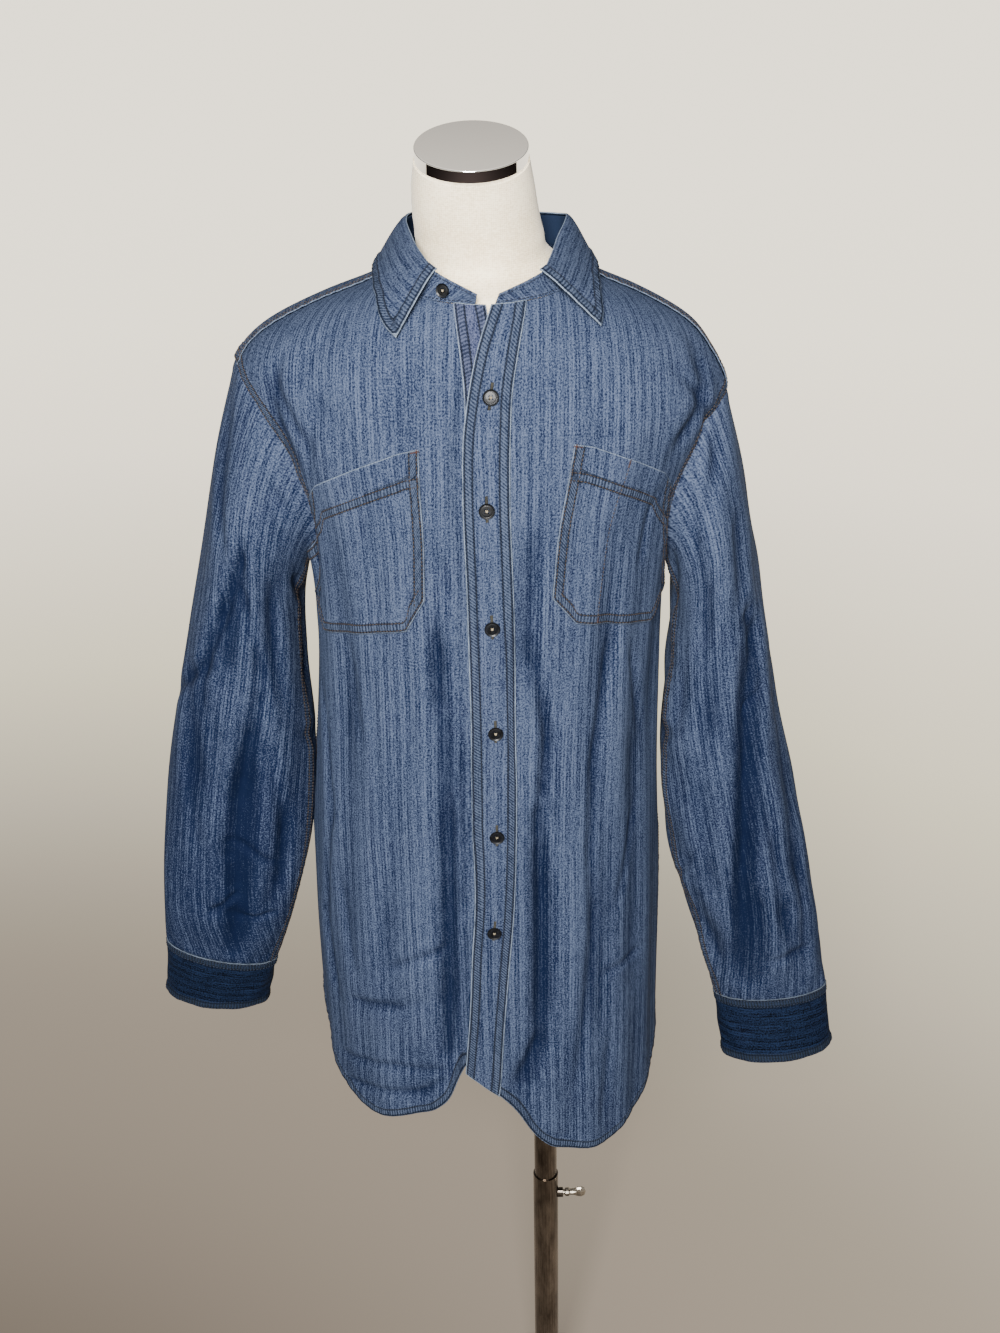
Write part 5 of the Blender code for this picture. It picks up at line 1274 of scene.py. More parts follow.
def denim(name, dark, light, deep, back, settings, contrast=1.0):
    """Cotton denim, woven in a herringbone stripe and washed.

    The warp is indigo and the weft nearly white, so high places and folded edges go pale where the dye has
    rubbed off. Hollows are painted a deeper blue, partly as dye they keep and partly as painted shade; the
    tails, the lower sleeves and the cloth's back are painted darker as shade. It is matt, with a faint sheen
    of loose fibres.
    """
    material, tree, shader = new_material(
        name, Roughness=0.75, Specular_IOR_Level=0.04, Sheen_Weight=0.015, Sheen_Roughness=0.4
    )
    shader.inputs["Sheen Tint"].default_value = linear("#8FA9D6")
    place = add_node(tree, "UVMap", uv_map="cut")
    parts = add_node(tree, "SeparateXYZ", {0: place})
    across, up = parts.outputs[0], parts.outputs[1]
    marks = {
        mark: add_node(tree, "Attribute", attribute_name=mark).outputs["Fac"]
        for mark in ("seam", "beside", "worn", "pucker", "fold_shade_and_wear", "painted_shade", "inside", "rub")
    }
    noises = {}
    for pattern, rate_across, rate_up, detail, roughness in DENIM_NOISES:
        scaled = add_node(
            tree, "VectorMath", {0: place, 1: (rate_across, rate_up, 0.0)}, operation="MULTIPLY"
        )
        inputs = {"Vector": scaled, "Scale": 1.0, "Detail": detail, "Roughness": roughness}
        noises[pattern] = add_node(tree, "TexNoise", inputs)
    # A full stripe is two columns of opposite twill, 9.5 mm in all
    wander = add_node(tree, "Math", {0: noises["slow"], 1: 0.006, 2: across}, operation="MULTIPLY_ADD")
    column_width = settings.stripe_pitch / 2
    fold = add_node(tree, "Math", {0: wander, 1: column_width}, operation="PINGPONG")
    bands = {}
    for line, low, high, to_low, to_high in (
        ("stripe", 0.28 * column_width, 0.72 * column_width, -0.5, 0.5),
        ("pale", 0.0009, 0.0002, 0.0, 1.0),
        ("dark", column_width - 0.0009, column_width - 0.0002, 0.0, 1.0),
    ):
        inputs = {0: fold, 1: low, 2: high, 3: to_low, 4: to_high}
        bands[line] = add_node(tree, "MapRange", inputs, interpolation_type="SMOOTHSTEP")
    lines = add_node(tree, "Math", {0: bands["pale"], 1: bands["dark"]}, operation="SUBTRACT")
    # Real twill lines are 0.6 mm apart; they are drawn at 2.1 mm so that they show
    twill = add_node(tree, "Math", {0: fold, 1: 1.25, 2: up}, operation="MULTIPLY_ADD")
    twill = add_node(tree, "Math", {0: twill, 1: 2 * math.pi / 0.0021}, operation="MULTIPLY")
    twill = add_node(tree, "Math", {0: twill}, operation="SINE")
    inputs = {0: noises["uneven"], 1: 0.30, 2: 0.68, 3: 0.35, 4: 1.5}
    strength = add_node(tree, "MapRange", inputs, interpolation_type="SMOOTHSTEP")
    stripes = add_node(tree, "Math", {0: lines, 1: 0.6, 2: bands["stripe"]}, operation="MULTIPLY_ADD")
    total = add_node(tree, "Math", {0: stripes, 1: strength}, operation="MULTIPLY")
    total = add_node(tree, "Math", {0: total, 1: 0.38 * contrast}, operation="MULTIPLY")
    for pattern, weight in (("streak", 0.60), ("hair", 1.45), ("grain", 2.4), ("patch", 0.40)):
        centred = add_node(tree, "Math", {0: noises[pattern], 1: 0.5}, operation="SUBTRACT")
        total = add_node(tree, "Math", {0: centred, 1: weight, 2: total}, operation="MULTIPLY_ADD")
    # The fine ladder that each stitch of a washed seam pulls up
    rise = add_node(tree, "MapRange", {0: marks["seam"], 1: 10.5, 2: 8.5}, interpolation_type="SMOOTHSTEP")
    start = add_node(tree, "MapRange", {0: marks["seam"], 1: 0.2, 2: 1.6}, interpolation_type="SMOOTHSTEP")
    zone = add_node(tree, "Math", {0: rise, 1: start}, operation="MULTIPLY")
    rung = add_node(tree, "Math", {0: marks["beside"], 1: 2.17}, operation="MULTIPLY")
    rung = add_node(tree, "Math", {0: noises["patch"], 1: 4.0, 2: rung}, operation="MULTIPLY_ADD")
    rung = add_node(tree, "Math", {0: rung}, operation="SINE")
    ladder = add_node(tree, "Math", {0: rung, 1: zone}, operation="MULTIPLY")
    weights = (
        (twill, 0.05),
        (marks["pucker"], 0.24),
        # hollows darker and ridges paler: painted shade, and wear on the ridges
        (marks["fold_shade_and_wear"], 0.045),
        # darker towards the hem and the cuffs: painted shade
        (marks["painted_shade"], -0.30),
        (ladder, 0.5),
    )
    for source, weight in weights:
        total = add_node(tree, "Math", {0: source, 1: weight, 2: total}, operation="MULTIPLY_ADD")
    share = add_node(tree, "Math", {0: total, 1: 0.5}, operation="ADD")
    share = add_node(tree, "Clamp", {0: share})
    # What lies over what: each layer's share and its colour
    # Hollows are mixed towards the deep colour: painted shade, and in part dye that the hollows keep
    fold_shade_and_wear = {0: marks["fold_shade_and_wear"], 1: -1.5, 2: -6.0, 3: 0.0, 4: 0.46}
    fold_shade_and_wear = add_node(tree, "MapRange", fold_shade_and_wear, interpolation_type="SMOOTHSTEP")
    dull = add_node(tree, "Math", {0: zone, 1: 0.30}, operation="MULTIPLY")
    layers = [(fold_shade_and_wear, deep), (dull, SEAM_DULL)]
    # Needle holes and the shadow of the thread, along both rows of stitching
    for row in STITCH_ROWS:
        off = add_node(tree, "Math", {0: marks["seam"], 1: row * 1000}, operation="SUBTRACT")
        off = add_node(tree, "Math", {0: off}, operation="ABSOLUTE")
        off = add_node(
            tree, "MapRange", {0: off, 1: 1.2, 2: 0.3, 3: 0.0, 4: 0.85}, interpolation_type="SMOOTHSTEP"
        )
        layers.append((off, SEAM_SHADE))
    rubbed = add_node(tree, "MapRange", {0: marks["worn"], 1: 1.1, 2: 0.2}, interpolation_type="SMOOTHSTEP")
    fluff = {0: noises["hair"], 1: 0.25, 2: 0.60, 3: 0.35, 4: 1.0}
    fluff = add_node(tree, "MapRange", fluff, interpolation_type="SMOOTHSTEP")
    rubbed = add_node(tree, "Math", {0: rubbed, 1: fluff}, operation="MULTIPLY")
    rubbed = add_node(tree, "Math", {0: rubbed, 1: marks["rub"]}, operation="MULTIPLY")
    # The inner face takes the back colour, painted dark as the shade that falls inside the shirt
    layers += [(rubbed, RUBBED), (marks["inside"], back)]
    inputs = {0: share, 6: linear(dark), 7: linear(light)}
    colour = add_node(tree, "Mix", inputs, data_type="RGBA").outputs[2]
    for layer, over in layers:
        colour = add_node(tree, "Mix", {0: layer, 6: colour, 7: linear(over)}, data_type="RGBA").outputs[2]
    tree.links.new(colour, shader.inputs["Base Color"])
    relief = add_node(tree, "Math", {0: noises["hair"], 1: noises["grain"]}, operation="ADD")
    for source, weight in ((twill, 0.25), (ladder, 0.8)):
        relief = add_node(tree, "Math", {0: source, 1: weight, 2: relief}, operation="MULTIPLY_ADD")
    bump = add_node(tree, "Bump", {"Strength": 0.55, "Distance": 0.0005, "Height": relief})
    tree.links.new(bump.outputs[0], shader.inputs["Normal"])
    return material


def thread(name, hex_colour):
    """Spun topstitching thread, cotton round polyester: matt, with its colour rubbed unevenly by washing."""
    material, tree, shader = new_material(name, Roughness=0.7, Specular_IOR_Level=0.3)
    place = add_node(tree, "TexCoord").outputs["Object"]
    patch = add_node(tree, "VectorMath", {0: place, 1: (160.0, 160.0, 160.0)}, operation="MULTIPLY")
    patch = add_node(tree, "TexNoise", {"Vector": patch, "Scale": 1.0, "Detail": 2.0, "Roughness": 0.5})
    base = linear(hex_colour)
    dull = tuple(0.45 * part for part in base[:3]) + (1.0,)
    tree.links.new(
        add_node(
            tree,
            "Mix",
            {
                0: add_node(tree, "MapRange", {0: patch, 1: 0.3, 2: 0.65}, interpolation_type="SMOOTHSTEP"),
                6: dull,
                7: base,
            },
            data_type="RGBA",
        ).outputs[2],
        shader.inputs["Base Color"],
    )
    return material


def horn():
    """Polished horn-effect polyester resin, turned and drilled: nearly black, cloudy, with a glossy rim."""
    material, tree, shader = new_material(
        "polished horn-effect resin",
        Roughness=0.45,
        Specular_IOR_Level=0.15,
        Coat_Weight=0.07,
        Coat_Roughness=0.1,
    )
    place = add_node(tree, "TexCoord").outputs["Object"]
    cloud = add_node(tree, "VectorMath", {0: place, 1: (330.0, 330.0, 260.0)}, operation="MULTIPLY")
    cloud = add_node(tree, "TexNoise", {"Vector": cloud, "Scale": 1.0, "Detail": 3.0, "Roughness": 0.6})
    colour = add_node(
        tree,
        "Mix",
        {
            0: add_node(tree, "MapRange", {0: cloud, 1: 0.4, 2: 0.7}, interpolation_type="SMOOTHSTEP"),
            6: linear("#050608"),
            7: linear("#121418"),
        },
        data_type="RGBA",
    ).outputs[2]
    tree.links.new(colour, shader.inputs["Base Color"])
    return material


def jersey():
    """Cream cotton jersey stretched over a shell: matt, finely ribbed, a little uneven in tone."""
    material, tree, shader = new_material(
        "cream cotton jersey", Roughness=0.92, Specular_IOR_Level=0.2, Sheen_Weight=0.2, Sheen_Roughness=0.5
    )
    place = add_node(tree, "TexCoord").outputs["Object"]
    parts = add_node(tree, "SeparateXYZ", {0: place})
    # Real loops are 0.7 mm; they are drawn at 1.6 mm so that they show
    rib = add_node(
        tree,
        "Math",
        {0: add_node(tree, "Math", {0: parts.outputs[2], 1: 2 * math.pi / 0.0016}, operation="MULTIPLY")},
        operation="SINE",
    )
    wale = add_node(
        tree,
        "Math",
        {0: add_node(tree, "Math", {0: parts.outputs[0], 1: 2 * math.pi / 0.0017}, operation="MULTIPLY")},
        operation="SINE",
    )
    slub = add_node(tree, "VectorMath", {0: place, 1: (420.0, 420.0, 700.0)}, operation="MULTIPLY")
    slub = add_node(tree, "TexNoise", {"Vector": slub, "Scale": 1.0, "Detail": 2.0, "Roughness": 0.6})
    patch = add_node(tree, "VectorMath", {0: place, 1: (16.0, 16.0, 16.0)}, operation="MULTIPLY")
    patch = add_node(tree, "TexNoise", {"Vector": patch, "Scale": 1.0, "Detail": 3.0, "Roughness": 0.5})
    total = add_node(
        tree,
        "Math",
        {0: rib, 1: 0.06, 2: add_node(tree, "Math", {0: wale, 1: 0.06}, operation="MULTIPLY")},
        operation="MULTIPLY_ADD",
    )
    total = add_node(
        tree,
        "Math",
        {0: total, 1: add_node(tree, "Math", {0: slub, 1: 0.8, 2: patch}, operation="MULTIPLY_ADD")},
        operation="ADD",
    )
    colour = add_node(
        tree,
        "Mix",
        {
            0: add_node(tree, "MapRange", {0: total, 1: 0.62, 2: 1.15}, interpolation_type="SMOOTHSTEP"),
            6: linear("#DDC9A4"),
            7: linear("#FFF0D2"),
        },
        data_type="RGBA",
    ).outputs[2]
    tree.links.new(colour, shader.inputs["Base Color"])
    bump = add_node(tree, "Bump", {"Strength": 0.30, "Distance": 0.0003, "Height": total})
    tree.links.new(bump.outputs[0], shader.inputs["Normal"])
    return material


def plated_cap():
    """A chromed cap: its side is polished to a mirror, and its top is blasted to a grey satin."""
    material, tree, shader = new_material("polished chrome plate, satin top")
    place = add_node(tree, "TexCoord").outputs["Object"]
    z, x, y, _, _, tilt = NECK[-1]
    lean = math.radians(tilt)
    axis = (0.0, -math.sin(lean), math.cos(lean))
    height = add_node(tree, "VectorMath", {0: place, 1: axis}, operation="DOT_PRODUCT").outputs["Value"]
    foot = Vector(axis).dot(Vector((x, y, z)))
    top = add_node(
        tree,
        "MapRange",
        {
            0: height,
            1: foot + CAP["height"] + CAP["gap"] - 0.0006,
            2: foot + CAP["height"] + CAP["gap"] - 0.0002,
        },
        interpolation_type="SMOOTHSTEP",
    )
    haze = add_node(tree, "VectorMath", {0: place, 1: (900.0, 900.0, 900.0)}, operation="MULTIPLY")
    haze = add_node(tree, "TexNoise", {"Vector": haze, "Scale": 1.0, "Detail": 2.0, "Roughness": 0.5})
    colour = add_node(
        tree, "Mix", {0: top, 6: linear("#E8E8EA"), 7: linear("#B8B2A9")}, data_type="RGBA"
    ).outputs[2]
    # The blasted top scatters light like a pale paint, which a plain metal shader can't
    tree.links.new(
        add_node(
            tree, "MapRange", {0: top, 1: 0.0, 2: 1.0, 3: 1.0, 4: 0.45}, interpolation_type="SMOOTHSTEP"
        ).outputs[0],
        shader.inputs["Metallic"],
    )
    tree.links.new(colour, shader.inputs["Base Color"])
    rough = add_node(
        tree,
        "Math",
        {0: haze, 1: 0.06, 2: add_node(tree, "Math", {0: top, 1: 0.42, 2: 0.02}, operation="MULTIPLY_ADD")},
        operation="MULTIPLY_ADD",
    )
    tree.links.new(rough.outputs[0], shader.inputs["Roughness"])
    return material


def drawn_steel(name, light, dark, roughness):
    """Drawn steel tube with a thin plating: satin, with fine lengthwise lines and dull patches."""
    material, tree, shader = new_material(name, Metallic=1.0)
    place = add_node(tree, "TexCoord").outputs["Object"]
    lines = add_node(tree, "VectorMath", {0: place, 1: (1500.0, 1500.0, 25.0)}, operation="MULTIPLY")
    lines = add_node(tree, "TexNoise", {"Vector": lines, "Scale": 1.0, "Detail": 2.0, "Roughness": 0.5})
    patch = add_node(tree, "VectorMath", {0: place, 1: (60.0, 60.0, 18.0)}, operation="MULTIPLY")
    patch = add_node(tree, "TexNoise", {"Vector": patch, "Scale": 1.0, "Detail": 4.0, "Roughness": 0.65})
    total = add_node(
        tree,
        "Math",
        {0: lines, 1: 0.4, 2: add_node(tree, "Math", {0: patch, 1: 0.8}, operation="MULTIPLY")},
        operation="MULTIPLY_ADD",
    )
    colour = add_node(
        tree,
        "Mix",
        {
            0: add_node(tree, "MapRange", {0: total, 1: 0.4, 2: 0.8}, interpolation_type="SMOOTHSTEP"),
            6: linear(dark),
            7: linear(light),
        },
        data_type="RGBA",
    ).outputs[2]
    tree.links.new(colour, shader.inputs["Base Color"])
    rough = add_node(tree, "Math", {0: total, 1: 0.2, 2: roughness}, operation="MULTIPLY_ADD")
    tree.links.new(rough.outputs[0], shader.inputs["Roughness"])
    bump = add_node(tree, "Bump", {"Strength": 0.1, "Distance": 0.0001, "Height": lines})
    tree.links.new(bump.outputs[0], shader.inputs["Normal"])
    return material


def powder_coat():
    """Powder-coated steel plate: satin dark grey with a fine orange peel and a few paler scuffs."""
    material, tree, shader = new_material("dark grey powder coat", Roughness=0.45, IOR=1.5)
    place = add_node(tree, "TexCoord").outputs["Object"]
    peel = add_node(tree, "VectorMath", {0: place, 1: (500.0, 500.0, 500.0)}, operation="MULTIPLY")
    peel = add_node(tree, "TexNoise", {"Vector": peel, "Scale": 1.0, "Detail": 1.0, "Roughness": 0.5})
    scuff = add_node(tree, "VectorMath", {0: place, 1: (90.0, 90.0, 90.0)}, operation="MULTIPLY")
    scuff = add_node(tree, "TexNoise", {"Vector": scuff, "Scale": 1.0, "Detail": 5.0, "Roughness": 0.7})
    colour = add_node(
        tree,
        "Mix",
        {
            0: add_node(
                tree,
                "MapRange",
                {0: scuff, 1: 0.62, 2: 0.80, 3: 0.0, 4: 0.5},
                interpolation_type="SMOOTHSTEP",
            ),
            6: linear("#3A3A3B"),
            7: linear("#77777A"),
        },
        data_type="RGBA",
    ).outputs[2]
    tree.links.new(colour, shader.inputs["Base Color"])
    bump = add_node(tree, "Bump", {"Strength": 0.15, "Distance": 0.0004, "Height": peel})
    tree.links.new(bump.outputs[0], shader.inputs["Normal"])
    return material


class ShirtSettings(bpy.types.PropertyGroup):
    """Sizes that a user would change."""

    stripe_pitch: bpy.props.FloatProperty(
        name="Stripe pitch", description="Width of one full herringbone stripe", default=0.0095, unit="LENGTH"
    )
    stitch_length: bpy.props.FloatProperty(
        name="Stitch length",
        description="Length of one topstitch with its gap",
        default=0.0034,
        unit="LENGTH",
    )
    thread_width: bpy.props.FloatProperty(
        name="Thread width",
        description="Thickness of the topstitching thread",
        default=0.00085,
        unit="LENGTH",
    )
    buttonhole: bpy.props.FloatProperty(
        name="Buttonhole", description="Length of a worked buttonhole", default=0.0215, unit="LENGTH"
    )


class StudioSettings(bpy.types.PropertyGroup):
    """The floor and light."""

    key_power: bpy.props.FloatProperty(
        name="Key light", description="Power of the soft key light", default=302.0, unit="POWER"
    )
    sky_strength: bpy.props.FloatProperty(name="Room light", description="Strength of the room", default=0.24)
    floor_painted_glow: bpy.props.FloatProperty(
        name="Floor painted glow", description="How brightly the far floor is lit by the room", default=4.0
    )
    # The floor glows with painted light, standing for the room's light on it
    floor_reach: bpy.props.FloatProperty(
        name="Floor reach", description="Radius of the floor", default=60.0, unit="LENGTH"
    )


def deselect():
    """Leaves edit mode and deselects everything."""
    if bpy.context.object and bpy.context.object.mode != "OBJECT":
        bpy.ops.object.mode_set(mode="OBJECT")
    bpy.ops.object.select_all(action="DESELECT")


class SHIRT_OT_trunk(bpy.types.Operator):
    """Make the two fronts, the back and the yoke"""

    bl_idname = "shirt.trunk"
    bl_label = "Fronts, back and yoke"

    def execute(self, context):
        settings = context.scene.shirt
        cloth = denim("washed herringbone denim", *DENIM, settings)
        for side in ("right", "left"):
            grid = front_grid(side)
            grid[:, 0] += 0.35 * (grid[:, 1] - grid[:, 0])  # its edge hides under the band
            neck = sum(front_cells(side)[:3])
            head = np.where(np.arange(grid.shape[1]) > neck, TUCK, 0.0)
            made = build_sheet(
                f"front_{side}_cloth",
                body,
                grid,
                {"foot": ("hem", 0), "end": ("over", 0), "head": ("under", head)},
                grain_on(bare_body, 0, LOWEST),
                BODY_STEP,
                lift=under_lift if side == "right" else 0.0,
                seed=3 if side == "right" else 8,
                height=body_height,
                # painted shade, darker towards the hem
                painted_shade=tail_shade,
            )
            dress(made, [f"front_{side}"], [cloth])
        grid = back_grid()
        low = np.where(np.arange(grid.shape[0]) <= BELOW_PIT * FINE[0], TUCK, 0.0)
        edges = {"foot": ("hem", 0), "start": ("over", low), "end": ("over", low), "head": ("under", TUCK)}
        grain = grain_on(bare_body, 180, LOWEST)
        made = build_sheet(
            # the tails get painted shade, darker towards the hem
            "back_cloth", body, grid, edges, grain, BODY_STEP, seed=13, height=body_height, painted_shade=tail_shade
        )
        dress(made, ["back"], [cloth])
        made = build_sheet(
            "yoke_cloth",
            body,
            yoke_grid(),
            {"head": ("over", 0), "start": ("over", 0), "end": ("over", 0)},
            crosswise(grain),
            BODY_STEP,
            seed=21,
            height=body_height,
        )
        dress(made, ["yoke"], [cloth])
        return {"FINISHED"}


class SHIRT_OT_pockets(bpy.types.Operator):
    """Make the chest pockets and the two strips of the button stand"""

    bl_idname = "shirt.pockets"
    bl_label = "Pockets and button stand"

    def execute(self, context):
        cloth = bpy.data.materials["washed herringbone denim"]
        fresh = denim("washed herringbone denim, sheltered", *SHELTERED, context.scene.shirt, contrast=0.5)
        for side in ("right", "left"):
            grid, cells = front_grid(side), front_cells(side)
            rows = slice(BELOW_PIT * FINE[0], (BELOW_PIT + POCKET_ROWS) * FINE[0] + 1)
            columns = slice(sum(cells[:2]), sum(cells[:5]) + 1)
            edges = {"foot": ("over", 0), "start": ("over", 0), "end": ("over", 0), "head": ("mouth", 0)}
            self.strip(f"pocket_{side}_cloth", side, grid[rows, columns], edges, [f"pocket_{side}"], cloth)
            strip = grid[:, : cells[0] + 1]
            edges = {"start": ("over", 0), "end": ("over", 0), "foot": ("fold", 0), "head": ("fold", 0)}
            if side == "right":
                self.strip("under_band_cloth", side, strip, edges, ["under_band"], fresh)
            else:
                self.strip("band_cloth", side, strip, edges, ["front_band"], cloth)
        return {"FINISHED"}

    def strip(self, name, side, grid, edges, nodes, material):
        """A piece that lies on a front, with its stripes started at its own edge, so they don't match."""
        flat = grain_on(bare_body, float(grid[0, 0, 0]), LOWEST)
        proud = SEAM + BAND_CLOTH + LIE

        def lift(places):
            return proud + (under_lift(places) if side == "right" else 0.0)

        made = build_sheet(
            name,
            body,
            grid,
            edges,
            flat,
            BODY_STEP,
            lift=lift,
            thickness=BAND_CLOTH,
            seed=len(name),
            height=body_height,
            rub=0.55 if "band" in name else 0.3,
            # painted shade, darker towards the hem
            painted_shade=tail_shade,
        )
        dress(made, nodes, [material])


class SHIRT_OT_sleeves(bpy.types.Operator):
    """Make the sleeves, their plackets and the cuffs"""

    bl_idname = "shirt.sleeves"
    bl_label = "Sleeves and cuffs"

    def execute(self, context):
        settings = context.scene.shirt
        cloth = bpy.data.materials["washed herringbone denim"]
        raw = denim("unfaded denim", *CUFF_DENIM, settings, contrast=1.1)
        for side in ("right", "left"):
            self.sleeve(side, cloth)
            self.placket(side, cloth)
            self.cuff(side, raw)
        return {"FINISHED"}

    def sleeve(self, side, cloth):
        rows, columns = SLEEVE_FINE
        rounds = SEAM_ROUND + np.arange(columns + 1) / columns
        grid = np.stack(np.broadcast_arrays(rounds[None], np.linspace(0, 1, rows + 1)[:, None]), axis=-1)

        made = build_sheet(
            f"sleeve_{side}_cloth",
            sleeve_skin(side),
            grid,
            {"start": ("over", TUCK), "end": ("over", 0), "foot": ("under", 1e-6), "head": ("under", 1e-6)},
            sleeve_grain(side),
            SLEEVE_STEP,
            outward=SIGN[side],
            seed=31 + (side == "left"),
            height=lambda around, down: sleeve_height(side, around, down),
            # painted shade, darker at the armhole and more towards the cuff
            painted_shade=lambda around, down: SLEEVE_SHADE[side][0] + SLEEVE_SHADE[side][1] * smooth(down),
        )
        # The allowances at its two ends lie under the trunk and in the cuff
        around = made["grid"][0, :, 0]
        hole = armhole(side, around)
        middle = np.array([SIGN[side] * 90, (ARMHOLES[side]["top"] + ARMHOLES[side]["pit"]) / 2])
        past = hole + (hole - middle) * 0.035
        cuff, flat = cuff_skin(side), np.ones(len(around))
        for face, deep in (("outer", DROP), ("inner", DROP + CLOTH)):
            made[face][0] = lifted(body, *past.T, -deep * flat, BODY_STEP)
            made[face][1] = lifted(body, *hole.T, -deep * flat, BODY_STEP)
            for row, down, more in ((-2, 0.0, 0.0004), (-1, 0.06, 0.0008)):
                sink = -SIGN[side] * (deep + more) * flat
                made[face][row] = lifted(cuff, around, down * flat, sink, SLEEVE_STEP)
        dress(made, [f"sleeve_{side}"], [cloth])

    def placket(self, side, cloth):
        rounds = np.linspace(CUFF_LAP_START, CUFF_LAP_START + PLACKET_ROUND, 9)
        downs = np.linspace(1 - PLACKET_SHARE, 0.996, 46)
        grid = np.stack(np.broadcast_arrays(rounds[None], downs[:, None]), axis=-1)
        skin = sleeve_skin(side)
        made = build_sheet(
            f"sleeve_placket_{side}_cloth",
            skin,
            grid,
            {edge: ("over", 0) for edge in ("start", "end", "foot")},
            grain_on(skin, CUFF_LAP_START, 0.5),
            SLEEVE_STEP,
            outward=SIGN[side],
            lift=SEAM + BAND_CLOTH + LIE,
            thickness=BAND_CLOTH,
            seed=41,
        )
        dress(made, [f"sleeve_placket_{side}"], [cloth])

    def cuff(self, side, cloth):
        rounds = np.linspace(CUFF_LAP_START, CUFF_LAP_START + 1 + CUFF_LAP / CUFF_CELLS, 181)
        grid = np.stack(np.broadcast_arrays(rounds[None], np.linspace(-0.03, 1, 40)[:, None]), axis=-1)
        bare = cuff_skin(side)

        def layer(places):
            steps = (places[..., 0] - CUFF_LAP_START) * CUFF_CELLS
            over = smooth((steps - CUFF_CELLS + 2) / 2) - smooth((CUFF_LAP + 2 - steps) / 2)
            return over * CUFF_LAYER / 2

        def skin(around, down):
            height = SIGN[side] * cuff_height(around, down)
            return lifted(bare, around, down, height, CUFF_STEP)

        made = build_sheet(
            f"cuff_{side}_cloth",
            skin,
            grid,
            {edge: ("over", 0) for edge in EDGES},
            crosswise(grain_on(bare, 1, 0)),
            CUFF_STEP,
            outward=SIGN[side],
            lift=layer,
            thickness=CUFF_CLOTH,
            seed=47,
            height=cuff_height,
        )
        dress(made, [f"cuff_{side}"], [cloth])


def cuff_height(around, down):
    """A cuff's own soft waves."""
    first = np.sin(2 * np.pi * (around * 9 + down * 1.3))
    second = np.sin(2 * np.pi * (around * 4 - down * 2.1 + 0.3))
    return CUFF_WAVE * smooth((down + 0.05) / 0.4) * (0.6 * first + 0.4 * second)


class SHIRT_OT_collar(bpy.types.Operator):
    """Make the collar stand and the collar leaf"""

    bl_idname = "shirt.collar"
    bl_label = "Collar"

    def execute(self, context):
        cloth = bpy.data.materials["washed herringbone denim"]
        bearings = np.linspace(STAND_END, 360 - STAND_END, 241)
        grid = np.stack(np.broadcast_arrays(bearings[None], np.linspace(-0.04, 1, 16)[:, None]), axis=-1)
        made = build_sheet(
            "collar_stand_cloth",
            stand_skin,
            grid,
            {edge: ("fold", 0) for edge in EDGES},
            grain_on(stand_skin, 180, 0),
            STAND_STEP,
            thickness=STAND_CLOTH,
            seed=51,
            rub=0.05,
        )
        dress(made, ["collar_stand"], [cloth])
        bearings = np.linspace(LEAF_END, 360 - LEAF_END, 261)
        grid = np.stack(np.broadcast_arrays(bearings[None], np.linspace(0, 1, 34)[:, None]), axis=-1)
        made = build_sheet(
            "collar_leaf_cloth",
            leaf_skin,
            grid,
            {"head": ("over", 0), "start": ("over", 0), "end": ("over", 0), "foot": ("fold", 0)},
            crosswise(grain_on(leaf_skin, 180, 0)),
            LEAF_STEP,
            outward=-1,
            thickness=STAND_CLOTH,
            seed=57,
            rub=0.5,
        )
        dress(made, ["collar_leaf"], [cloth])
        return {"FINISHED"}


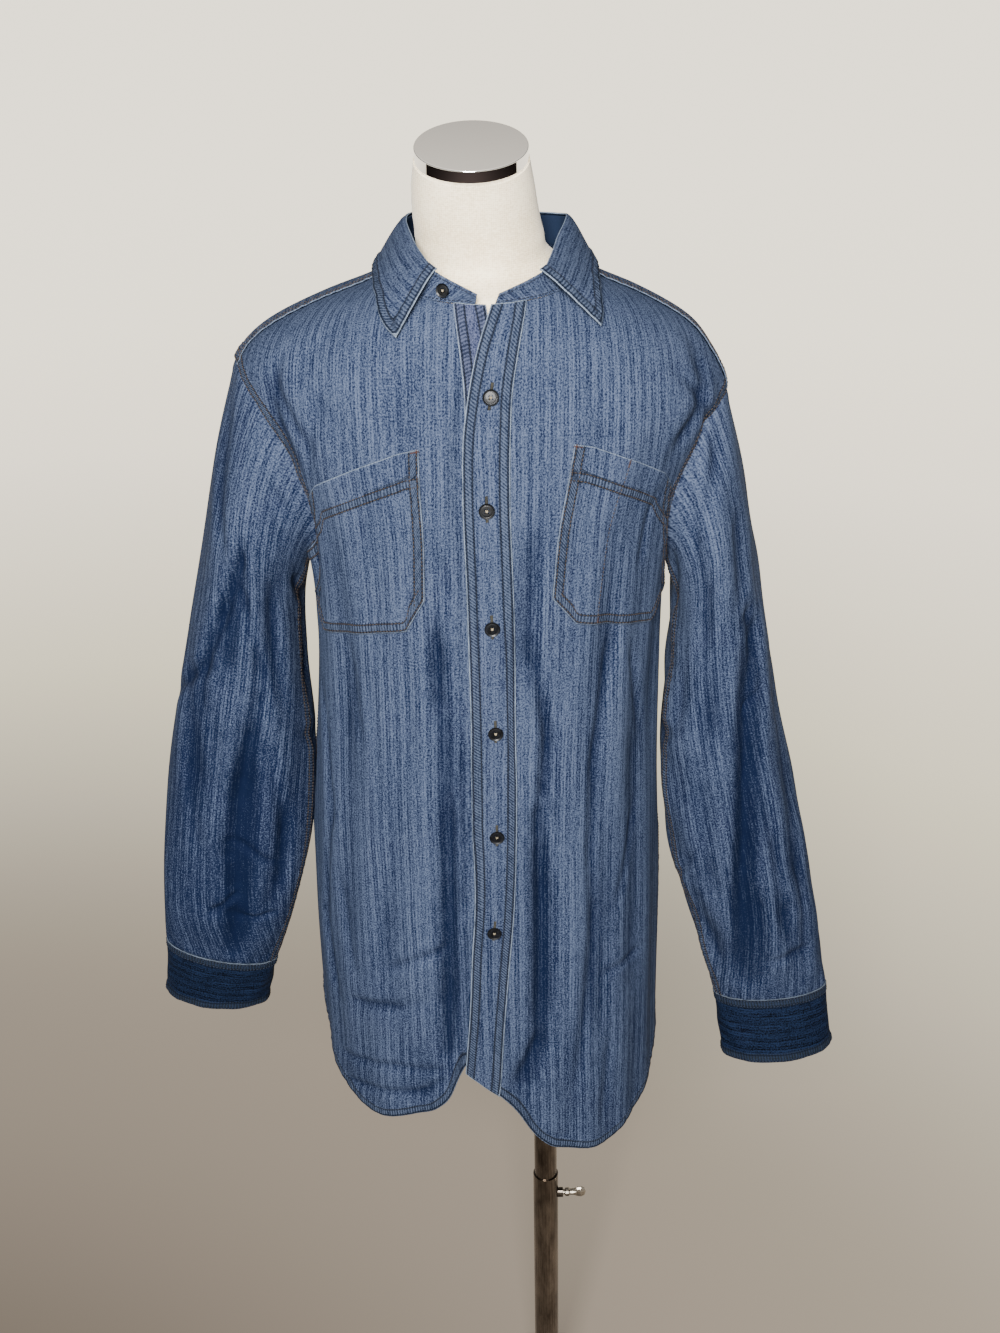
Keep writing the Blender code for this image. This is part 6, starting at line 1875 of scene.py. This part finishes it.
class SHIRT_OT_stitching(bpy.types.Operator):
    """Sew the rows of topstitching, the bar-tacks and the buttonholes"""

    bl_idname = "shirt.stitching"
    bl_label = "Stitching"

    def execute(self, context):
        settings = context.scene.shirt
        brown = thread("tobacco spun thread, washed", "#3D332C")
        navy = thread("navy spun thread, washed", "#1B2233")
        rust = thread("rust spun thread", "#47291D")
        trunk, hem, rows = [], [], STITCH_ROWS
        for side in ("right", "left"):
            front = SHEETS[f"front_{side}_cloth"]
            hem.append(running_stitch(seam_line(front, "foot", 0.0085), settings))
            trunk += [running_stitch(seam_line(front, "end", row), settings) for row in rows]
            sleeve = SHEETS[f"sleeve_{side}_cloth"]
            trunk += [running_stitch(seam_line(sleeve, "end", row), settings) for row in rows]
        hem.append(running_stitch(seam_line(SHEETS["back_cloth"], "foot", 0.0085), settings))
        for edge in ("start", "end"):
            trunk += [running_stitch(seam_line(SHEETS["back_cloth"], edge, row), settings) for row in rows]
            trunk += [running_stitch(seam_line(SHEETS["yoke_cloth"], edge, row), settings) for row in rows]
        trunk += [running_stitch(seam_line(SHEETS["yoke_cloth"], "head", row), settings) for row in rows]
        add_threads("trunk_stitching", trunk, brown)
        add_threads("hem_stitching", hem, navy)

        bands = []
        for name in ("band_cloth", "under_band_cloth"):
            for edge in ("start", "end"):
                bands += [running_stitch(seam_line(SHEETS[name], edge, row), settings) for row in rows]
        add_threads("band_stitching", bands, navy)

        pockets, tacks = [], []
        for side in ("right", "left"):
            pocket = SHEETS[f"pocket_{side}_cloth"]
            for row in rows:
                for edge in ("start", "end"):
                    pockets.append(running_stitch(seam_line(pocket, edge, row, (row, 0)), settings))
                pockets.append(running_stitch(seam_line(pocket, "foot", row, (row, row)), settings))
                pockets.append(running_stitch(seam_line(pocket, "head", row + MOUTH_ROWS), settings))
            tack = seam_line(pocket, "start", rows[0])
            tacks.append(zigzag((tack[0][-3:], tack[1][-3:]), 0.0014, 0.0008, 0.0003))
            mouth = seam_line(pocket, "head", 0.0016)
            tacks.append(zigzag((mouth[0][:5], mouth[1][:5]), 0.0014, 0.0008, 0.0003))
        slot = grid_line(SHEETS["pocket_left_cloth"], PEN_SLOT["columns"], PEN_SLOT["rows"])
        pockets.append(running_stitch(slot, settings))
        tacks.append(zigzag([part[:4] for part in slot], 0.0018, 0.0007, 0.0003))
        tacks.append(zigzag([part[-3:] for part in slot], 0.0018, 0.0007, 0.0003))
        add_threads("pocket_stitching", pockets, brown)
        add_threads("bar_tacks", tacks, rust)

        collar = []
        for edge in ("head", "start", "end"):
            collar.append(running_stitch(seam_line(SHEETS["collar_leaf_cloth"], edge, rows[1]), settings))
        for edge in ("head", "foot"):
            collar.append(running_stitch(seam_line(SHEETS["collar_stand_cloth"], edge, 0.0022), settings))
        for side in ("right", "left"):
            cuff = SHEETS[f"cuff_{side}_cloth"]
            collar += [running_stitch(seam_line(cuff, edge, rows[0]), settings) for edge in EDGES]
            collar.append(running_stitch(seam_line(cuff, "foot", rows[1]), settings))
            placket = SHEETS[f"sleeve_placket_{side}_cloth"]
            for edge in ("start", "end", "foot"):
                collar.append(running_stitch(seam_line(placket, edge, rows[0]), settings))
        add_threads("collar_and_cuff_stitching", collar, navy)
        return {"FINISHED"}


class SHIRT_OT_buttons(bpy.types.Operator):
    """Turn one button, drill it, and sew a copy on at each place"""

    bl_idname = "shirt.buttons"
    bl_label = "Buttons and buttonholes"

    def execute(self, context):
        settings = context.scene.shirt
        resin = horn()
        tan = thread("tan spun thread", "#8C8069")
        olive = thread("olive buttonhole thread", "#2C2A22")
        blank = self.blank(resin)
        threads, holes = [], []
        for name in BUTTONS:
            centre, axis, radius, _ = seat_of(name)
            place = Matrix.Translation(centre) @ axis.to_track_quat("Z", "Y").to_matrix().to_4x4()
            piece = bpy.data.objects.new(f"{name}_turned", blank.data.copy())
            bpy.context.scene.collection.objects.link(piece)
            piece.data.transform(place @ Matrix.Scale(radius / BUTTON_RADIUS, 4))
            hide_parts(name)
            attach(piece, "figure")
            threads.append(self.cross(place, radius / BUTTON_RADIUS))
            if name.startswith("button_"):
                holes.append(self.hole(centre, settings))
        bpy.data.objects.remove(blank, do_unlink=True)
        add_threads("button_threads", threads, tan)
        add_threads("buttonholes", holes, olive)
        return {"FINISHED"}

    def blank(self, resin):
        """One button at the origin, its back at z 0."""
        deselect()
        radius, height = BUTTON_RADIUS, BUTTON_DEPTH
        bpy.ops.mesh.primitive_cylinder_add(
            vertices=36, radius=radius, depth=height, location=(0, 0, height / 2)
        )
        piece = bpy.context.object
        bpy.ops.object.transform_apply(location=True, rotation=True, scale=True)
        bpy.ops.object.mode_set(mode="EDIT")
        self.pick(piece, lambda face: face.normal.z < -0.9)
        bpy.ops.transform.resize(value=(0.78, 0.78, 1.0))
        self.pick(piece, lambda face: face.normal.z > 0.9)
        bpy.ops.mesh.inset(thickness=0.00165)
        bpy.ops.transform.translate(value=(0, 0, -0.0010))
        bpy.ops.mesh.inset(thickness=0.0009)
        bpy.ops.transform.translate(value=(0, 0, 0.00025))
        self.rings(piece, 0.6 * radius)
        bpy.ops.mesh.bevel(offset=0.00042, segments=3)
        bpy.ops.object.mode_set(mode="OBJECT")
        for x in (-1, 1):
            for y in (-1, 1):
                bpy.ops.object.select_all(action="DESELECT")
                bpy.ops.mesh.primitive_cylinder_add(
                    vertices=12, radius=0.00075, depth=0.02, location=(x * 0.0012, y * 0.0012, 0)
                )
                drill = bpy.context.object
                cut = piece.modifiers.new("hole", "BOOLEAN")
                cut.operation, cut.solver, cut.object = "DIFFERENCE", "EXACT", drill
                bpy.context.view_layer.objects.active = piece
                bpy.ops.object.modifier_apply(modifier=cut.name)
                bpy.data.objects.remove(drill, do_unlink=True)
        deselect()
        piece.select_set(True)
        bpy.context.view_layer.objects.active = piece
        bpy.ops.object.shade_smooth_by_angle(angle=math.radians(35))
        piece.data.materials.clear()
        piece.data.materials.append(resin)
        return piece

    def pick(self, piece, wanted):
        bpy.ops.mesh.select_all(action="DESELECT")
        bpy.ops.mesh.select_mode(type="FACE")
        shape = bmesh.from_edit_mesh(piece.data)
        for face in shape.faces:
            face.select_set(wanted(face))
        bmesh.update_edit_mesh(piece.data)

    def rings(self, piece, reach):
        """Selects the level edges that lie further out than reach."""
        bpy.ops.mesh.select_all(action="DESELECT")
        bpy.ops.mesh.select_mode(type="EDGE")
        shape = bmesh.from_edit_mesh(piece.data)
        for edge in shape.edges:
            low, high = (corner.co for corner in edge.verts)
            edge.select_set(abs(low.z - high.z) < 1e-6 and low.xy.length > reach)
        bmesh.update_edit_mesh(piece.data)

    def cross(self, place, scale):
        """The thread that holds a button, crossed over its four holes."""
        reach, height = 0.0012 * scale, (BUTTON_DEPTH - 0.0006) * scale
        corners = np.array(
            [(-1, -1), (1, 1), (-1, 1), (1, -1), (-0.7, -1.1), (1.1, 0.7), (-1.1, 0.7), (0.7, -1.1)]
        )
        flat = np.column_stack([corners * reach, np.full(len(corners), height)])
        turn = np.array(place.to_3x3())
        points = flat @ turn.T + np.array(place.translation)
        ups = np.tile(turn[:, 2], (len(corners) // 2, 1))
        return bars(points[::2], points[1::2], ups, 0.00042 * scale)

    def hole(self, centre, settings):
        """A worked buttonhole that runs up and down behind a button."""
        band_sheet = SHEETS["band_cloth"]
        middle = band_sheet["outer"][:, band_sheet["outer"].shape[1] // 2]
        normals = band_sheet["normals"][:, band_sheet["outer"].shape[1] // 2]
        run = np.concatenate([[0], np.linalg.norm(np.diff(middle, axis=0), axis=-1).cumsum()])
        here = np.interp(centre.z, middle[:, 2], run) + 0.0012
        places = np.linspace(here - settings.buttonhole / 2, here + settings.buttonhole / 2, 12)
        line = [
            np.stack([np.interp(places, run, field[:, k]) for k in range(3)], axis=-1)
            for field in (middle, normals)
        ]
        line[0] += (np.array(centre) - line[0].mean(axis=0)) * (1, 0, 0)
        return zigzag(line, 0.0030, 0.0005, 0.00038)


def seat_of(name):
    """Where a button's solid sits: the middle of its back, its axis, its radius and its lowest reach."""
    points = np.array([corner.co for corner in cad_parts[name].data.vertices])
    points = np.unique(points.round(6), axis=0)
    middle = points.mean(axis=0)
    axis = np.linalg.svd(points - middle)[2][2]
    outward = middle - np.array([*NECK_CENTRE, middle[2]]) * (1, 1, 1)
    if name.startswith("cuff"):
        side = name.split("_")[-1]
        cuff = CUFFS[side]
        centre = [(cuff["outer"][0] + cuff["inner"][0]) / 2, cuff["middle"], middle[2]]
        outward = middle - np.array(centre)
    if axis @ outward < 0:
        axis = -axis
    offsets = (points - middle) @ axis
    radius = np.linalg.norm(points - middle - offsets[:, None] * axis, axis=1).max()
    back = middle + axis * offsets.min()
    return Vector(back), Vector(axis), float(radius), float(offsets.min())


class SHIRT_OT_form(bpy.types.Operator):
    """Cover the form in jersey and plate its neck cap"""

    bl_idname = "shirt.form"
    bl_label = "Dress form"

    def execute(self, context):
        self.cap()
        self.form()
        return {"FINISHED"}

    def cap(self):
        """The neck cap, a disc with a rounded upper rim, laid on the tilted neck."""
        deselect()
        z, x, y, _, _, tilt = NECK[-1]
        depth = CAP["height"]
        bpy.ops.mesh.primitive_cylinder_add(
            vertices=144, radius=CAP["radius"], depth=depth, location=(0, 0, CAP["gap"] + depth / 2)
        )
        cap = bpy.context.object
        bpy.ops.object.transform_apply(location=True)
        bpy.ops.object.mode_set(mode="EDIT")
        bpy.ops.mesh.select_all(action="DESELECT")
        bpy.ops.mesh.select_mode(type="FACE")
        shape = bmesh.from_edit_mesh(cap.data)
        for face in shape.faces:
            face.select_set(face.normal.z > 0.9)
        bmesh.update_edit_mesh(cap.data)
        bpy.ops.mesh.bevel(offset=CAP["rim"], segments=5)
        bpy.ops.mesh.select_mode(type="VERT")
        bpy.ops.object.mode_set(mode="OBJECT")
        bpy.ops.object.shade_smooth_by_angle(angle=math.radians(35))
        cap.name = "plated_cap"
        cap.rotation_euler = (math.radians(tilt), 0, 0)
        cap.location = (x, y, z)
        bpy.ops.object.transform_apply(location=True, rotation=True)
        cap.data.materials.append(plated_cap())
        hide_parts("neck_cap")
        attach(cap, "figure")

    def form(self):
        """The form's cover, drawn smoothly through its levels, with the bore for the pole's end."""
        turns = np.arange(FORM_SIDES) * 360 / FORM_SIDES
        facing = np.abs(np.cos(np.radians(turns)))
        rings = []
        for z, side_inset, front_inset in FORM:
            inset = side_inset + (front_inset - side_inset) * facing
            rings.append(lifted(bare_body, turns, np.full(FORM_SIDES, z), -inset, BODY_STEP))
        rings[0][:, 2] = FORM[0][0]
        rings += [neck_ring(row, turns) for row in NECK]
        rings = np.array(rings)
        slopes = np.gradient(rings, axis=0)
        levels = [rings[0]]
        for low in range(len(rings) - 1):
            for k in np.arange(1, FORM_STEPS + 1) / FORM_STEPS:
                start = (1 + 2 * k) * (1 - k) ** 2 * rings[low] + k * (1 - k) ** 2 * slopes[low]
                levels.append(
                    start + k * k * (3 - 2 * k) * rings[low + 1] + k * k * (k - 1) * slopes[low + 1]
                )
        points = np.concatenate(levels)
        faces = [tuple(range(FORM_SIDES))[::-1], tuple(range(len(points) - FORM_SIDES, len(points)))]
        for row in range(len(levels) - 1):
            for k in range(FORM_SIDES):
                low, onward = row * FORM_SIDES, (k + 1) % FORM_SIDES
                faces.append((low + k, low + onward, low + onward + FORM_SIDES, low + k + FORM_SIDES))
        mesh = bpy.data.meshes.new("jersey_form")
        mesh.from_pydata(points.tolist(), [], faces)
        form = bpy.data.objects.new("jersey_form", mesh)
        bpy.context.scene.collection.objects.link(form)
        deselect()
        foot = FORM[0][0] - SOCKET["below"]
        bpy.ops.mesh.primitive_cylinder_add(
            vertices=48,
            radius=SOCKET["radius"],
            depth=SOCKET["top"] - foot,
            location=(0, 0, (SOCKET["top"] + foot) / 2),
        )
        drill = bpy.context.object
        cut = form.modifiers.new("bore", "BOOLEAN")
        cut.operation, cut.solver, cut.object = "DIFFERENCE", "EXACT", drill
        deselect()
        form.select_set(True)
        bpy.context.view_layer.objects.active = form
        bpy.ops.object.modifier_apply(modifier=cut.name)
        bpy.data.objects.remove(drill, do_unlink=True)
        bpy.ops.object.shade_smooth_by_angle(angle=math.radians(40))
        mesh.materials.clear()
        mesh.materials.append(jersey())
        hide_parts("form")
        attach(form, "figure")


def neck_ring(row, turns):
    """A level of the neck, tilted towards the front."""
    z, x, y, width, depth, tilt = row
    sine, cosine = np.sin(np.radians(turns)), np.cos(np.radians(turns))
    drop = math.tan(math.radians(tilt)) * depth * cosine
    return np.stack([x + width * sine, y - depth * cosine, z - drop], axis=-1)


class SHIRT_OT_stand(bpy.types.Operator):
    """Finish the tubes, the screw and the base"""

    bl_idname = "shirt.stand"
    bl_label = "Stand"

    def execute(self, context):
        tube = drawn_steel("nickel-plated steel tube", "#8A8076", "#4A423B", 0.12)
        screw = drawn_steel("zinc-plated steel screw", "#B5ADA0", "#7D756A", 0.25)
        for name, material in (
            ("pole_outer", tube),
            ("pole_inner", tube),
            ("thumb_screw", screw),
            ("base_plate", powder_coat()),
        ):
            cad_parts[name].material_slots[0].material = material
        return {"FINISHED"}


class SHIRT_OT_studio(bpy.types.Operator):
    """Lay the floor and set the light and the camera"""

    bl_idname = "shirt.studio"
    bl_label = "Studio"

    def execute(self, context):
        settings = context.scene.studio
        deselect()
        bpy.ops.mesh.primitive_circle_add(vertices=96, radius=settings.floor_reach, fill_type="NGON")
        floor = bpy.context.object
        floor.name = "floor"
        material, tree, shader = new_material("matt floor with painted light and shade", Roughness=0.95, Specular_IOR_Level=0.1)
        place = add_node(tree, "TexCoord").outputs["Object"]
        reach = add_node(tree, "VectorMath", {0: place, 1: FLOOR_SHADE_MIDDLE}, operation="DISTANCE")
        share = add_node(tree, "Math", {0: reach.outputs["Value"], 1: FLOOR_REACH}, operation="DIVIDE")
        # The floor's colour is painted darker towards its middle as shade, and it glows with painted light
        for stops, socket in ((FLOOR_SHADED_COLOURS, "Base Color"), (FLOOR_PAINTED_GLOW, "Emission Color")):
            ramp = add_node(tree, "ValToRGB", {"Fac": share})
            ramp.color_ramp.interpolation = "B_SPLINE"
            elements = ramp.color_ramp.elements
            elements[0].color, elements[-1].color = linear(stops[0][1]), linear(stops[-1][1])
            for distance, hex_colour in stops[1:-1]:
                elements.new(distance / FLOOR_REACH).color = linear(hex_colour)
            tree.links.new(ramp.outputs["Color"], shader.inputs[socket])
        shader.inputs["Emission Strength"].default_value = settings.floor_painted_glow
        floor.visible_diffuse = False  # so that it doesn't light the cloth from below
        floor.data.materials.append(material)

        # A dark board that only reflections see, as a studio lays in front of polished metal
        middle = (0, 0, BOARD["lift"])
        bpy.ops.mesh.primitive_circle_add(
            vertices=48, radius=BOARD["radius"], fill_type="NOTHING", location=middle
        )
        flag = bpy.context.object
        bpy.ops.object.transform_apply(location=True)
        bpy.ops.object.mode_set(mode="EDIT")
        bpy.ops.mesh.select_all(action="SELECT")
        bpy.ops.mesh.extrude_region_move()
        bpy.ops.transform.resize(value=(BOARD["spread"], BOARD["spread"], 1.0), center_override=middle)
        bpy.ops.mesh.select_all(action="SELECT")
        bpy.ops.mesh.bisect(plane_co=(0, BOARD["back"], 0), plane_no=(0, 1, 0), clear_outer=True)
        bpy.ops.object.mode_set(mode="OBJECT")
        flag.name = "black_board"
        felt, _, shader = new_material("black felt", Roughness=1.0, Specular_IOR_Level=0.0)
        shader.inputs["Base Color"].default_value = BOARD["colour"]
        flag.data.materials.append(felt)
        flag.visible_camera = flag.visible_diffuse = flag.visible_shadow = False

        world = bpy.data.worlds.new("pale room")
        bpy.context.scene.world = world
        world.use_nodes = True
        background = world.node_tree.nodes["Background"]
        background.inputs["Color"].default_value = linear("#E9E8E6")
        background.inputs["Strength"].default_value = settings.sky_strength

        key = bpy.data.lights.new("key", "AREA")
        key.shape, key.size, key.size_y = "RECTANGLE", KEY["size"], KEY["size"]
        key.energy = settings.key_power
        key.color = KEY["colour"]
        lamp = bpy.data.objects.new("key", key)
        lamp.location = KEY["place"]
        lamp.rotation_euler = (Vector(KEY["aim"]) - lamp.location).to_track_quat("-Z", "Y").to_euler()
        bpy.context.scene.collection.objects.link(lamp)

        pitch, roll = math.radians(CAMERA["pitch"]), math.radians(CAMERA["roll"])
        ahead = Vector((0, math.cos(pitch), -math.sin(pitch)))
        right = Vector((1, 0, 0))
        up = right.cross(ahead)
        side, top = right * math.cos(roll) - up * math.sin(roll), right * math.sin(roll) + up * math.cos(roll)
        data = bpy.data.cameras.new("camera")
        data.sensor_fit, data.sensor_height = "VERTICAL", SENSOR
        data.lens = CAMERA["focal"] * SENSOR
        camera = bpy.data.objects.new("camera", data)
        x, y, z = CAMERA["place"]
        camera.matrix_world = Matrix(
            (
                (side.x, top.x, -ahead.x, x),
                (side.y, top.y, -ahead.y, y),
                (side.z, top.z, -ahead.z, z),
                (0, 0, 0, 1),
            )
        )
        bpy.context.scene.collection.objects.link(camera)
        bpy.context.scene.camera = camera
        return {"FINISHED"}


class SHIRT_PT_panel(bpy.types.Panel):
    """Everything that makes the shirt, in order"""

    bl_label = "Denim shirt"
    bl_idname = "SHIRT_PT_panel"
    bl_space_type = "VIEW_3D"
    bl_region_type = "UI"
    bl_category = "Denim shirt"

    def draw(self, context):
        for group in (context.scene.shirt, context.scene.studio):
            for name in group.__annotations__:
                self.layout.prop(group, name)
        for operator in OPERATORS:
            self.layout.operator(operator.bl_idname)


OPERATORS = (
    SHIRT_OT_trunk,
    SHIRT_OT_pockets,
    SHIRT_OT_sleeves,
    SHIRT_OT_collar,
    SHIRT_OT_stitching,
    SHIRT_OT_buttons,
    SHIRT_OT_form,
    SHIRT_OT_stand,
    SHIRT_OT_studio,
)
CLASSES = (ShirtSettings, StudioSettings, *OPERATORS, SHIRT_PT_panel)


def register():
    """Adds the classes and their settings."""
    for made in CLASSES:
        bpy.utils.register_class(made)
    bpy.types.Scene.shirt = bpy.props.PointerProperty(type=ShirtSettings)
    bpy.types.Scene.studio = bpy.props.PointerProperty(type=StudioSettings)


def unregister():
    """Takes the classes and their settings away again."""
    del bpy.types.Scene.studio
    del bpy.types.Scene.shirt
    for made in reversed(CLASSES):
        bpy.utils.unregister_class(made)


def main():
    """Builds the object and its studio."""
    register()
    bpy.ops.shirt.trunk()
    bpy.ops.shirt.pockets()
    bpy.ops.shirt.sleeves()
    bpy.ops.shirt.collar()
    bpy.ops.shirt.stitching()
    bpy.ops.shirt.buttons()
    bpy.ops.shirt.form()
    bpy.ops.shirt.stand()
    bpy.ops.shirt.studio()


if __name__ == "__main__":
    main()
